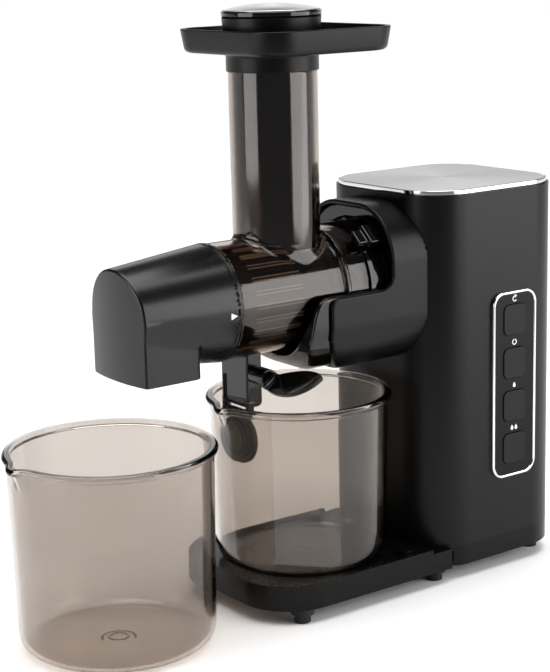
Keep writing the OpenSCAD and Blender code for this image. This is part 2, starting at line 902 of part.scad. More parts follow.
// Strainer basket inside the drum: eight ribs, two end rings, a way in for the food
module strainer_frame() {
    color("#1a1a1b")
    difference() {
        rod_y(strainer_r, strainer_front, strainer_back);
        rod_y(strainer_r - 1.8, strainer_front - 1, strainer_back + 1);
        for (i = [0:7])
            translate([0, strainer_front + 5, axis_z]) rotate([0, 22.5 + i * 45, 0])
                translate([-8, 0, 0])
                    cube([16, strainer_back - strainer_front - 9, strainer_r + 2]);
        chute_way();
    }
}

// Fine sieve sleeve inside the strainer's ribs
module strainer_mesh() {
    color("#b5b8bb")
    difference() {
        tube_y(strainer_r - 2, strainer_r - 2.5, strainer_front + 1, strainer_back - 1);
        chute_way();
    }
}

// Pressing screw: solid core with one helical flight, a journal in front and a hub behind
module auger() {
    len = auger_back - auger_front;
    color("#19191a")
    difference() {
        union() {
            cone_y(core_r + 6, core_r, auger_front, auger_back - 30);
            rod_y(core_r, auger_back - 31, auger_back);
            rod_y(journal_r, auger_front - 24, auger_front + 1);
            rod_y(hub_r, auger_back - 1, seal_y - 0.6);
            translate([0, auger_back, axis_z]) rotate([90, 0, 0])
                linear_extrude(len, twist = -360 * len / flight_pitch, slices = 72, $fn = 16)
                    intersection() {
                        circle(flight_r, $fn = 48);
                        translate([0, -flight_w / 2]) square([flight_r, flight_w]);
                    }
        }
        translate([0, seal_y, axis_z]) rotate([90, 0, 0])
            cylinder(r = (hex_af / 2 + 0.2) / cos(30), h = seal_y - socket_y, $fn = 6);
    }
}

// Body of the end cap, shrunk by g: a cone with an outlet block below, open lower down
module cap_body(g = 0, below = 0) {
    bow = 140;
    intersection() {
        union() {
            cone_y(block_hw - g, cap_r - g, cap_front + g, drum_front);
            translate([-block_hw + g, cap_front + g, block_z - below])
                cube([2 * (block_hw - g), block_len - 2 * g, block_drop + below]);
        }
        translate([0, cap_front + g + bow, block_z - 10]) cylinder(r = bow, h = 110, $fn = 200);
    }
}

// End cap: closes the drum, holds the auger's front journal and drops the pulp
module end_cap() {
    color("#2b2b2c")
    difference() {
        cap_body();
        difference() {
            cap_body(wall, 2);
            rod_y(cap_boss_r, cap_front, cap_front + cap_boss_l);
        }
        rod_y(cap_r - wall, drum_front - spigot_l - 1, drum_front + 1);
        rod_y(journal_r + run_fit, auger_front - 25, drum_front);
    }
}

// Silicone plug round the cap's boss, which sets the pressure on the pulp
module pulp_valve() {
    y1 = cap_front + cap_boss_l - 2;
    color("#8c8a86") tube_y(cap_boss_r + 5, cap_boss_r, y1 - 5, y1);
}

// Juice outlet under the drum, with a pocket in front and the stopper's ears below
module juice_spout() {
    heel_r = 2.5;
    rim = 1.8;
    pocket = 1.2;
    ear_w = 3;
    ear_drop = 2.4;
    color("#0e0e0f")
    difference() {
        union() {
            along_x(-spout_w / 2, spout_w / 2) hull() {
                translate([-spout_y, spout_z]) square([spout_d - heel_r, 1]);
                translate([-spout_y + spout_d - heel_r, spout_z + heel_r]) circle(heel_r);
                translate([-spout_y, axis_z - drum_r]) square([spout_d, 8]);
            }
            for (s = [-1, 1])
                translate([s * (spout_w - ear_w) / 2 - ear_w / 2, -spout_y + 0.2, pivot_z - ear_drop])
                    cube([ear_w, 4.4, spout_z - pivot_z + ear_drop + 0.6]);
        }
        rod_y(drum_r, -spout_y - 1, -spout_y + spout_d + 1);
        translate([-spout_w / 2 + rim, -spout_y - 1, spout_z + 1])
            cube([spout_w - 2 * rim, 1 + pocket, tap_z - spout_z - 4]);
        translate([0, mouth_y, spout_z - 1]) cylinder(r = mouth_r, h = spout_drop);
        translate([-5, tap_y, tap_z]) rotate([0, 90, 0])
            cylinder(r = tap_r + run_fit, h = spout_w);
        translate([-20, pivot_y, pivot_z]) rotate([0, 90, 0]) cylinder(r = pivot_r, h = 40);
    }
}

// Tap: a spindle with a cross hole, turned by a leaf-shaped lever beside the spout
module tap_lever() {
    bar_x = spout_w / 2 + 0.3;
    leaf_x = spout_w / 2 + 4.5;
    leaf_rad = (leaf_l * leaf_l + leaf_w * leaf_w) / (4 * leaf_w);
    tilt = 7;
    twist = 38;
    color("#101011")
    difference() {
        union() {
            translate([-5 + run_fit, tap_y, tap_z]) rotate([0, 90, 0])
                cylinder(r = tap_r, h = bar_x + 6);
            translate([bar_x, tap_y, tap_z]) rotate([0, 90, 0]) cylinder(r = tap_bar_r, h = 13);
            translate([leaf_x + 14, tap_y, tap_z]) rotate([0, -tilt, 0]) rotate([twist, 0, 0])
                translate([leaf_l / 2 - 14, 0, -1.5]) linear_extrude(3)
                    intersection_for (s = [-1, 1])
                        translate([0, s * (leaf_rad - leaf_w / 2)]) circle(leaf_rad);
        }
        translate([0, mouth_y, tap_z - 8]) cylinder(r = tap_bore_r, h = 16);
    }
}

module stopper_pin() {
    color("silver")
    translate([-spout_w / 2 + 0.4, pivot_y, pivot_z]) rotate([0, 90, 0])
        cylinder(r = pivot_r, h = spout_w - 0.8);
}

// Soft stopper that hangs open under the spout and swings up to close it
module drip_stopper() {
    drop = stopper_r + 1;
    ring_t = 3.5;
    dimple_r = 8;
    dimple = 1.2;
    color("#2c2b2a")
    difference() {
        union() {
            translate([-8, pivot_y, pivot_z]) rotate([0, 90, 0]) cylinder(r = 2.5, h = 16);
            translate([-7, pivot_y + stopper_back - 4, pivot_z - 8]) cube([14, 4, 8]);
            translate([0, pivot_y + stopper_back, pivot_z - drop]) rotate([90, 0, 0]) {
                cylinder(r = stopper_r, h = ring_t);
                cylinder(r = stopper_r - 1.5, h = stopper_t);
            }
        }
        translate([0, pivot_y + stopper_back, pivot_z - drop]) rotate([90, 0, 0])
            translate([0, 0, stopper_t - dimple]) cylinder(r = dimple_r, h = 2);
        translate([-9, pivot_y, pivot_z]) rotate([0, 90, 0])
            cylinder(r = pivot_r + run_fit, h = 18);
    }
}

// Rounded dish with sloping walls: z0 to z1, top outline shrunk by g
module dish(z0, z1, g) {
    draft = 2;
    hull() {
        translate([0, 0, z0]) linear_extrude(0.1)
            rrect(tray_w - 2 * (draft + g), tray_l - 2 * (draft + g), tray_r - g, $fn = 32);
        translate([0, 0, z1 - 0.1]) linear_extrude(0.1)
            rrect(tray_w - 2 * g, tray_l - 2 * g, tray_r - g, $fn = 32);
    }
}

// Feed tray with the collar that fits over the chute's neck
module feed_tray() {
    color("#212122")
    difference() {
        union() {
            translate([0, -chute_y + tray_back, 0])
                dish(tray_floor_z, tray_floor_z + tray_h, 0);
            translate([0, -chute_y, chute_top])
                cylinder(r = chute_r + 1, h = collar_h + 1);
        }
        translate([0, -chute_y + tray_back, 0])
            dish(tray_floor_z + wall, tray_floor_z + tray_h + 0.5, wall);
        translate([0, -chute_y, chute_top])
            cylinder(r = neck_r + slip_gap, h = collar_h + slip_gap);
        translate([0, -chute_y, chute_top]) cylinder(r = stem_r + 0.9, h = 40);
    }
}

// Pusher: stem in the chute, and a head that rests on the tray's floor
module pusher() {
    color("#1f1f20")
    translate([0, -chute_y, 0]) {
        translate([0, 0, axis_z + flight_r + 3.4])
            cylinder(r = stem_r, h = head_z - axis_z - flight_r);
        translate([0, 0, head_z]) cylinder(r1 = head_r - 1.5, r2 = head_r, h = head_h - 5);
    }
}

module pusher_band() {
    color("#0b0b0c")
    translate([0, -chute_y, pusher_top - 5])
        difference() {
            cylinder(r = head_r, h = 3.6);
            translate([0, 0, -1]) cylinder(r = head_r - 3, h = 6);
        }
}

// Bright domed disc that closes the pusher's head
module pusher_disc() {
    dome = 3.8;
    dome_r = (head_r * head_r + dome * dome) / (2 * dome);
    color("#c4c5c8")
    translate([0, -chute_y, pusher_top - 5]) {
        cylinder(r = head_r - 3, h = 3.6);
        translate([0, 0, 3.6]) intersection() {
            cylinder(r = head_r - 0.3, h = dome + 1);
            translate([0, 0, dome - dome_r]) sphere(dome_r, $fn = 200);
        }
    }
}

// Half outline of a cup's body, shrunk by g inside its wall, up to the height z1
function cup_side(rim_r, h, g, z1) =
    let (low_r = rim_r - 4.6, top_r = rim_r - 2.4)
    concat([[0, g]], arc(low_r - cup_round, cup_round, cup_round - g, -90, 0),
        [[top_r - g, h], [top_r - g, z1], [0, z1]]);

// Clear cup with a rounded foot, a rolled rim and a pouring lip towards the front
module cup(rim_r, h) {
    lip = 16;
    roll = 1.7;
    color("#8b8178", 0.4)
    difference() {
        union() {
            rotate_extrude() polygon(cup_side(rim_r, h, 0, h));
            rotate_extrude() translate([rim_r - roll, h - roll]) circle(roll);
            translate([0, -rim_r + 6, h - lip]) cylinder(r1 = 1, r2 = 8, h = lip);
        }
        rotate_extrude() polygon(cup_side(rim_r, h, cup_wall, h + 1));
        translate([0, -rim_r + 6, h - lip + 3]) cylinder(r1 = 0.5, r2 = 6.2, h = lip - 2.9);
    }
}

module juice_cup() { translate([0, -juice_y, seat_z]) cup(juice_rim_r, juice_h); }
module pulp_cup() { translate([0, pulp_y, 0]) cup(pulp_rim_r, pulp_h); }

base_tray();
bottom_cover();
rubber_feet();
base_screws();
column_housing();
top_trim();
top_plate();
panel_bezel();
panel_face();
button_reverse();
button_off();
button_soft();
button_hard();
switch_board();
control_board();
cord_gland();
nose_shell();
nose_liner();
release_catch();
catch_spring();
safety_switch();
gearbox_case();
gearbox_cover();
gearbox_screws();
front_bearing();
rear_bearing();
shaft_seal();
output_shaft();
output_gear();
idler_gear();
idler_pin();
motor_can();
motor_front_bell();
motor_magnets();
motor_bearings();
brush_holders();
rotor_core();
rotor_shaft();
motor_pinion();
commutator();
cooling_fan();
drum();
drum_ring();
drum_seal();
strainer_frame();
strainer_mesh();
auger();
end_cap();
pulp_valve();
juice_spout();
tap_lever();
stopper_pin();
drip_stopper();
feed_tray();
pusher();
pusher_band();
pusher_disc();
juice_cup();
pulp_cup();
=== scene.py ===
# %% [markdown]
# # A horizontal slow juicer, dressed for its picture
# The juicer is a black motor column with a clear pressing drum, two clear cups
# and a small feed tray. Its measured parts already exist as a frame of named
# nodes; this lesson gives them their finished surfaces, materials and light.

# %% Load the frame
import json
import bmesh
import bpy
import numpy as np
from mathutils import Matrix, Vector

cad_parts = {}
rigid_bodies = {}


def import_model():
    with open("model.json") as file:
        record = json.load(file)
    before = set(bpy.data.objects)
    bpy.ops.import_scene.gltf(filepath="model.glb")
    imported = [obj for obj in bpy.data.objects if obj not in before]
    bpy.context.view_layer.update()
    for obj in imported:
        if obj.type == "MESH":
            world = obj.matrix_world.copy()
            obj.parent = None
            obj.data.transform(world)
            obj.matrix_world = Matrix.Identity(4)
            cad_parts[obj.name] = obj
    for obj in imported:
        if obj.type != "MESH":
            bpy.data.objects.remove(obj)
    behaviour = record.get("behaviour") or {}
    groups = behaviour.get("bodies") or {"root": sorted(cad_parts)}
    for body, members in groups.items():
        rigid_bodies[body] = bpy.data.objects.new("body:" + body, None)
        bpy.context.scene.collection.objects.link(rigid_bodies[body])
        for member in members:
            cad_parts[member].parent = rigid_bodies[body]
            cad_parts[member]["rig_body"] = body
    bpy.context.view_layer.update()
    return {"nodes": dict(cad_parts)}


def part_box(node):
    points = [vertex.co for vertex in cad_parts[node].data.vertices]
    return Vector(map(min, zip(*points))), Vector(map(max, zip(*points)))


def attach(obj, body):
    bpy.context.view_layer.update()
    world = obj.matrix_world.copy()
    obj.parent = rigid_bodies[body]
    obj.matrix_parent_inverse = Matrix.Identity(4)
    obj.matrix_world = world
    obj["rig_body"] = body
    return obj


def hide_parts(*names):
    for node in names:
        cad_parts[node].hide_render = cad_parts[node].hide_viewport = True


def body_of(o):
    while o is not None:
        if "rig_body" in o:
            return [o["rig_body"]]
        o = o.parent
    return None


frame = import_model()

# %% [markdown]
# ## Sizes
# Every finished piece takes its place from the node that it stands for, so a
# change in the measured model moves the finished one too. Lengths here are in
# millimetres, because that is how such a part is drawn.

# %% Sizes of the pieces, in millimetres
def ends(node):
    """Lowest and highest corner of a node, in millimetres."""
    low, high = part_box(node)
    return np.array(low) * 1000, np.array(high) * 1000


def middle(node):
    """Centre of a node's box, in millimetres."""
    low, high = ends(node)
    return (low + high) / 2


AXIS_Z = middle("output_shaft")[2]
CAP_LOW, CAP_HIGH = ends("end_cap")
DRUM_LOW, DRUM_HIGH = ends("drum")
TRAY_LOW, TRAY_HIGH = ends("feed_tray")
PUSH_LOW, PUSH_HIGH = ends("pusher")
NOSE_LOW, NOSE_HIGH = ends("nose_shell")
LINER_LOW, LINER_HIGH = ends("nose_liner")
SPOUT_LOW, SPOUT_HIGH = ends("juice_spout")
CHUTE_Y = middle("pusher")[1]
CAP_R = CAP_HIGH[0]
DRUM_R = CAP_R - 0.7
print("axis height", round(AXIS_Z, 2), "drum radius", round(DRUM_R, 2))

# %% [markdown]
# ## The camera
# A long lens stands a little over a metre away, above and to the right of the
# pulp cup, and looks down by about thirteen degrees.

# %% Camera
def unit(v):
    """A vector divided by its own length."""
    return np.asarray(v, float) / np.linalg.norm(v)


def aimed(forward, roll):
    """Rotation whose -Z looks along forward, rolled about that line by an angle in degrees."""
    forward = unit(forward)
    right = unit(np.cross(forward, [0, 0, 1]))
    above = np.cross(right, forward)
    c, s = np.cos(np.radians(roll)), np.sin(np.radians(roll))
    axes = np.column_stack([c * right + s * above, c * above - s * right, -forward])
    return Matrix(axes.tolist()).to_4x4()


yaw, pitch = np.radians(53.87), np.radians(12.76)
forward = [-np.sin(yaw) * np.cos(pitch), np.cos(yaw) * np.cos(pitch), -np.sin(pitch)]
lens = bpy.data.cameras.new("studio_camera")
lens.lens = 93.06
lens.sensor_width = 36
camera = bpy.data.objects.new("studio_camera", lens)
camera.matrix_world = Matrix.Translation((0.82698, -0.65969, 0.39567)) @ aimed(forward, -1.41)
bpy.context.scene.collection.objects.link(camera)
bpy.context.scene.camera = camera
bpy.context.scene.view_settings.view_transform = "Standard"
print("camera focal length", lens.lens, "mm")

# %% [markdown]
# ## Two ways to make a surface
# Round pieces, such as the cups, are a profile carried round an axis: a grid
# of points over two parameters. Moulded housings, where one shape runs into
# another with a soft fillet, are easier as a distance field: a formula says
# how far each point is from the wall, round unions and cuts blend the shapes,
# and a mesh is drawn where the distance is zero.

# %% Put arrays into a mesh
def make_object(name, verts_mm, quads, normals=None):
    """Object from an array of points in millimetres and an array of four-cornered faces.
    Faces are turned outwards if the signed volume, the sum of the corner triple products, is negative."""
    verts = np.asarray(verts_mm, float) / 1000
    quads = np.asarray(quads, int)
    a, b, c, d = (verts[quads[:, i]] for i in range(4))
    volume = (a * np.cross(b, c)).sum() + (a * np.cross(c, d)).sum()
    if volume < 0:
        quads = quads[:, ::-1]
    mesh = bpy.data.meshes.new(name)
    mesh.vertices.add(len(verts))
    mesh.vertices.foreach_set("co", verts.astype(np.float32).ravel())
    mesh.loops.add(quads.size)
    mesh.loops.foreach_set("vertex_index", quads.astype(np.int32).ravel())
    mesh.polygons.add(len(quads))
    mesh.polygons.foreach_set("loop_start", np.arange(0, quads.size, 4, dtype=np.int32))
    mesh.update(calc_edges=True)
    mesh.polygons.foreach_set("use_smooth", np.ones(len(quads), bool))
    mesh.validate()
    if normals is not None:
        mesh.normals_split_custom_set_from_vertices(normals.tolist())
    obj = bpy.data.objects.new(name, mesh)
    bpy.context.scene.collection.objects.link(obj)
    return obj


def weld(obj):
    """Merges points closer than a gap, which closes the seams and poles of a swept grid."""
    gap_mm = 0.004
    shape = bmesh.new()
    shape.from_mesh(obj.data)
    bmesh.ops.remove_doubles(shape, verts=shape.verts, dist=gap_mm / 1000)
    shape.to_mesh(obj.data)
    shape.free()
    return obj


def sweep(name, grid, ring=True, path=True):
    """Surface over a grid of points with shape (m, n, 3). ring joins the last column to the first,
    path joins the last row to the first."""
    m, n = grid.shape[:2]
    i, j = np.meshgrid(np.arange(m if path else m - 1), np.arange(n if ring else n - 1), indexing="ij")
    i, j = i.ravel(), j.ravel()
    k, l = (i + 1) % m, (j + 1) % n
    quads = np.column_stack([i * n + j, k * n + j, k * n + l, i * n + l])
    return weld(make_object(name, grid.reshape(-1, 3), quads))


# %% [markdown]
# A profile is easier to draw as a few corners, each with its own radius. The
# next function rounds them, so an edge catches a thin line of light as a
# moulded or pressed edge does.

# %% Round the corners of a profile
def rounded(corners, steps=6):
    """Polyline through corners (r, z, radius): each corner is replaced by an arc that touches both
    of its sides, the distance from corner to arc being the radius over the tangent of the half angle."""
    pts = np.array([c[:2] for c in corners], float)
    radius = np.array([c[2] if len(c) > 2 else 0 for c in corners], float)
    out = [pts[:1]]
    for p, q, s, r in zip(pts[:-2], pts[1:-1], pts[2:], radius[1:-1]):
        u, v = unit(p - q), unit(s - q)
        half = np.arccos(np.clip(u @ v, -1, 1)) / 2
        if r <= 0 or half > 1.56:
            out.append(q[None])
            continue
        back = min(r / np.tan(half), 0.49 * min(np.linalg.norm(p - q), np.linalg.norm(s - q)))
        t = np.linspace(0, 1, steps)[:, None]
        a, b = q + u * back, q + v * back
        out.append((1 - t) ** 2 * a + 2 * t * (1 - t) * q + t ** 2 * b)
    out.append(pts[-1:])
    return np.concatenate(out)


def lathe(name, profile, centre, turns=128):
    """Profile (radius, height) carried round an upright axis through a centre."""
    a = np.linspace(0, 2 * np.pi, turns, endpoint=False)
    r, h = profile[:, :1], profile[:, 1:2]
    grid = np.stack([r * np.cos(a), r * np.sin(a), h * np.ones_like(a)], -1)
    return sweep(name, grid + np.asarray(centre, float), path=False)


# %% Distance fields and the ways they are joined
def join_round(a, b, r):
    """Union of two distances with a fillet of radius r in the inner corner."""
    return np.maximum(r, np.minimum(a, b)) - np.hypot(np.maximum(r - a, 0), np.maximum(r - b, 0))


def common_round(a, b, r):
    """Intersection of two distances with an outer edge rounded to radius r."""
    return np.minimum(-r, np.maximum(a, b)) + np.hypot(np.maximum(r + a, 0), np.maximum(r + b, 0))


def cut_round(a, b, r):
    """Distance a with b taken away, its new edge rounded to radius r."""
    return common_round(a, -b, r)


def slab(v, low, high):
    """Distance to the layer between two values of one coordinate."""
    return np.maximum(low - v, v - high)


def plate(u, v, half_u, half_v, r):
    """Distance to a rounded rectangle about the origin: the length of the outside part of the corner
    offsets, plus the inside part, less the radius."""
    du, dv = np.abs(u) - half_u + r, np.abs(v) - half_v + r
    return np.hypot(np.maximum(du, 0), np.maximum(dv, 0)) + np.minimum(np.maximum(du, dv), 0) - r


# %% [markdown]
# The mesh is drawn by surface nets: each grid cell that the wall passes
# through gets one point at the mean of its edge crossings. Newton's method
# then moves the points onto the wall exactly, and the field's gradient gives
# the shading normal, so a polished piece has clean reflections.

# %% Draw a mesh where a distance field is zero
def gradient(field, p, e=0.02):
    """Central differences of a field at an array of points."""
    x, y, z = p.T
    return np.column_stack([
        field(x + e, y, z) - field(x - e, y, z),
        field(x, y + e, z) - field(x, y - e, z),
        field(x, y, z + e) - field(x, y, z - e),
    ]) / (2 * e)


def mould(name, field, low, high, step):
    """Closed mesh of the points where a field of (x, y, z) in millimetres is zero."""
    low = np.asarray(low, float) - step * 1.37
    axes = [np.arange(a, b + 2.4 * step, step) for a, b in zip(low, high)]
    x, y, z = np.meshgrid(*axes, indexing="ij", sparse=True)
    f = np.broadcast_to(field(x, y, z), [len(a) for a in axes])
    cells = np.array(f.shape) - 1
    total, count, loops = np.zeros((cells.prod(), 3)), np.zeros(cells.prod()), []
    for a in range(3):
        b, c = (a + 1) % 3, (a + 2) % 3
        first = np.take(f, range(f.shape[a] - 1), a)
        last = np.take(f, range(1, f.shape[a]), a)
        at = np.argwhere((first < 0) != (last < 0))
        v0, v1 = first[tuple(at.T)], last[tuple(at.T)]
        cross = at.astype(float)
        cross[:, a] += v0 / (v0 - v1)
        ring = []
        for db, dc in ((1, 1), (0, 1), (0, 0), (1, 0)):
            cell = at.copy()
            cell[:, b] -= db
            cell[:, c] -= dc
            flat = np.ravel_multi_index(cell.T, cells, mode="clip")
            ring.append(flat)
            count += np.bincount(flat, minlength=len(count))
            for k in range(3):
                total[:, k] += np.bincount(flat, cross[:, k], len(count))
        ring = np.column_stack(ring)
        ring[v0 >= 0] = ring[v0 >= 0][:, ::-1]
        loops.append(ring)
    used = np.flatnonzero(count)
    number = np.zeros(len(count), int)
    number[used] = np.arange(len(used))
    p = low + step * total[used] / count[used, None]
    for _ in range(5):
        g = gradient(field, p)
        move = field(*p.T)[:, None] * g / np.maximum((g * g).sum(1), 0.2)[:, None]
        size = np.linalg.norm(move, axis=1, keepdims=True)
        p = p - move * np.minimum(1, 0.35 * step / np.maximum(size, 1e-9))
    g = gradient(field, p, 0.05)
    normals = g / np.maximum(np.linalg.norm(g, axis=1, keepdims=True), 1e-9)
    obj = make_object(name, p, number[np.concatenate(loops)], normals)
    print(name, "faces", len(obj.data.polygons))
    return obj


# %% [markdown]
# ## Materials
# Each finish is a small tree of nodes on the piece's own coordinates. One
# function adds a node and links it; the families below it are the ways in
# which these parts are really made: spark-eroded mould faces, polished mould
# faces, clear mouldings, brushed or plated metal, and rubber.

# %% Helpers for colours and nodes
def linear(colour):
    """sRGB hex to linear RGBA: a fixed slope near black, and a power of 2.4 above it."""
    v = np.array([int(colour[i:i + 2], 16) for i in (1, 3, 5)]) / 255
    rgb = np.where(v <= 0.04045, v / 12.92, ((v + 0.055) / 1.055) ** 2.4)
    return [float(c) for c in rgb] + [1.0]


def add(tree, kind, links=(), **settings):
    """A new node of a kind; settings name its own properties or, by socket name, its inputs, and
    links give (input, other node, output)."""
    node = tree.nodes.new("ShaderNode" + kind)
    for key, value in settings.items():
        if hasattr(node, key):
            setattr(node, key, value)
        else:
            node.inputs[key.replace("_", " ")].default_value = value
    for socket, other, output in links:
        tree.links.new(other.outputs[output], node.inputs[socket])
    return node


def start(name):
    """An empty material with an output, and its node tree."""
    material = bpy.data.materials.new(name)
    material.use_nodes = True
    material.node_tree.nodes.clear()
    return material, material.node_tree


def finish(tree, shader):
    """Links a shader to the material's output."""
    out = add(tree, "OutputMaterial")
    tree.links.new(shader.outputs[0], out.inputs["Surface"])


# %% [markdown]
# Most of the juicer is ABS. Where the mould was spark-eroded the plastic comes
# out matt with a fine grain; where it was polished it comes out like piano
# lacquer. Real grain is about 0.1 mm, too fine for the picture, so it is drawn
# several times coarser.

# %% Moulded plastics and rubbers
def moulded(name, colour, rough, grain=0.7, depth=0.02, uneven=0.06, coat=0.0, level=0.3):
    """Plastic or rubber. Fine noise of a grain in millimetres gives bump and uneven roughness, and a
    slow cloud makes the colour a little lighter and darker, as handled mouldings are."""
    material, tree = start(name)
    place = add(tree, "TexCoord")
    fine = add(tree, "TexNoise", [("Vector", place, "Object")], Scale=1000 / grain, Detail=3.0)
    cloud = add(tree, "TexNoise", [("Vector", place, "Object")], Scale=28.0, Detail=4.0)
    base = np.array(linear(colour))
    ramp = add(tree, "ValToRGB", [("Fac", cloud, "Fac")])
    ramp.color_ramp.elements[0].position = 0.3
    ramp.color_ramp.elements[1].position = 0.7
    ramp.color_ramp.elements[0].color = [*(base[:3] * 0.86), 1]
    ramp.color_ramp.elements[1].color = [*(base[:3] * 1.14), 1]
    gloss = add(tree, "MapRange", [("Value", fine, "Fac")])
    gloss.inputs["To Min"].default_value = max(rough - uneven, 0.02)
    gloss.inputs["To Max"].default_value = rough + uneven
    bump = add(tree, "Bump", [("Height", fine, "Fac")], Strength=0.35, Distance=depth / 1000)
    shader = add(tree, "BsdfPrincipled", [
        ("Base Color", ramp, "Color"), ("Roughness", gloss, "Result"), ("Normal", bump, "Normal"),
    ], IOR=1.53)
    shader.inputs["Coat Weight"].default_value = coat
    shader.inputs["Coat Roughness"].default_value = 0.05
    shader.inputs["Specular IOR Level"].default_value = level
    finish(tree, shader)
    return material


# matt black ABS from a spark-eroded mould: soft, wide highlights
HOUSING = moulded("spark_eroded_black_abs", "#080808", 0.34, grain=0.6, depth=0.02, level=0.17)
# finer grained black ABS with more sheen, for the end cap
SHEEN = moulded("fine_grained_black_abs", "#080809", 0.26, grain=0.6, depth=0.02, level=0.34)
# satin black ABS for the base tray, where cups slide about
SATIN = moulded("satin_black_abs", "#080808", 0.26, grain=0.9, depth=0.015, level=0.14)
# polished black ABS: a mirror under a thin haze
POLISHED = moulded("polished_black_abs", "#060606", 0.1, grain=2.0, depth=0.003, uneven=0.03, coat=0.2)
# key caps and panel film: soft to the touch, nearly black
KEYS = moulded("soft_touch_black_keys", "#0c0c0d", 0.44, grain=0.5, depth=0.03, level=0.16)
PANEL = moulded("matt_panel_film", "#080809", 0.4, grain=0.5, depth=0.02, level=0.12)
# filled nylon and resin inside the drum
RESIN = moulded("glass_filled_black_resin", "#1a1718", 0.3, grain=1.2, depth=0.03)
# the sieve round the auger, and pale bars over its slots that are painted highlights
SIEVE = moulded("fine_black_sieve", "#2b2523", 0.34, grain=0.5, depth=0.05)
SLOT_HIGHLIGHT = moulded("frosted_sieve_edge", "#cfc4b6", 0.4, grain=1.0, depth=0.01)
# silicone: near black with a soft sheen
SILICONE = moulded("black_silicone", "#161515", 0.46, grain=0.8, depth=0.03, level=0.2)
RUBBER = moulded("black_foot_rubber", "#151515", 0.7, grain=0.9, depth=0.06)
SEAL = moulded("nitrile_seal_rubber", "#2a2422", 0.6, grain=0.9, depth=0.04)
NYLON = moulded("natural_acetal_gears", "#dcd8c8", 0.38, grain=1.5, depth=0.02)
WHITE_NYLON = moulded("white_fan_nylon", "#d9d9d2", 0.4, grain=1.5, depth=0.02)
INK = moulded("white_pad_print", "#e9e9e9", 0.5, grain=0.4, depth=0.01)
BOARD = moulded("green_circuit_laminate", "#2f5d3a", 0.35, grain=2.5, depth=0.05)
FERRITE = moulded("sintered_ferrite", "#4a4a4c", 0.62, grain=1.0, depth=0.08)

# %% [markdown]
# The metals are a brushed steel top plate, bright plated trim, a spun disc on
# the pusher, and the ordinary steels, brass and copper of the drive inside.

# %% Metals
def metal(name, colour, rough, grain=1.5, uneven=0.08, stretch=(1, 1, 1)):
    """Metal with streaks: a noise drawn out along one axis changes roughness and tone a little."""
    material, tree = start(name)
    place = add(tree, "TexCoord")
    scaled = add(tree, "Mapping", [("Vector", place, "Object")], Scale=stretch)
    streak = add(tree, "TexNoise", [("Vector", scaled, "Vector")], Scale=1000 / grain, Detail=4.0)
    base = np.array(linear(colour))
    tone = add(tree, "ValToRGB", [("Fac", streak, "Fac")])
    tone.color_ramp.elements[0].color = [*(base[:3] * 0.88), 1]
    tone.color_ramp.elements[1].color = [*np.minimum(base[:3] * 1.1, 1), 1]
    gloss = add(tree, "MapRange", [("Value", streak, "Fac")])
    gloss.inputs["To Min"].default_value = max(rough - uneven, 0.03)
    gloss.inputs["To Max"].default_value = rough + uneven
    shader = add(tree, "BsdfPrincipled", [("Base Color", tone, "Color"), ("Roughness", gloss, "Result")],
                 Metallic=1.0)
    finish(tree, shader)
    return material


CHROME = metal("bright_chrome_plate", "#dcdddf", 0.09, grain=6, uneven=0.03)
STEEL = metal("ground_bearing_steel", "#b4b7ba", 0.25)
ZINC = metal("zinc_plated_steel", "#9a9da1", 0.36)
CASTING = metal("die_cast_aluminium", "#8f9295", 0.5, grain=0.9, uneven=0.15)
BRASS = metal("machined_brass", "#c2a25a", 0.28)
COPPER = metal("drawn_copper", "#b06a3a", 0.3)
LAMINATION = metal("varnished_laminations", "#8a5a34", 0.42, grain=0.8, stretch=(1, 6, 1))
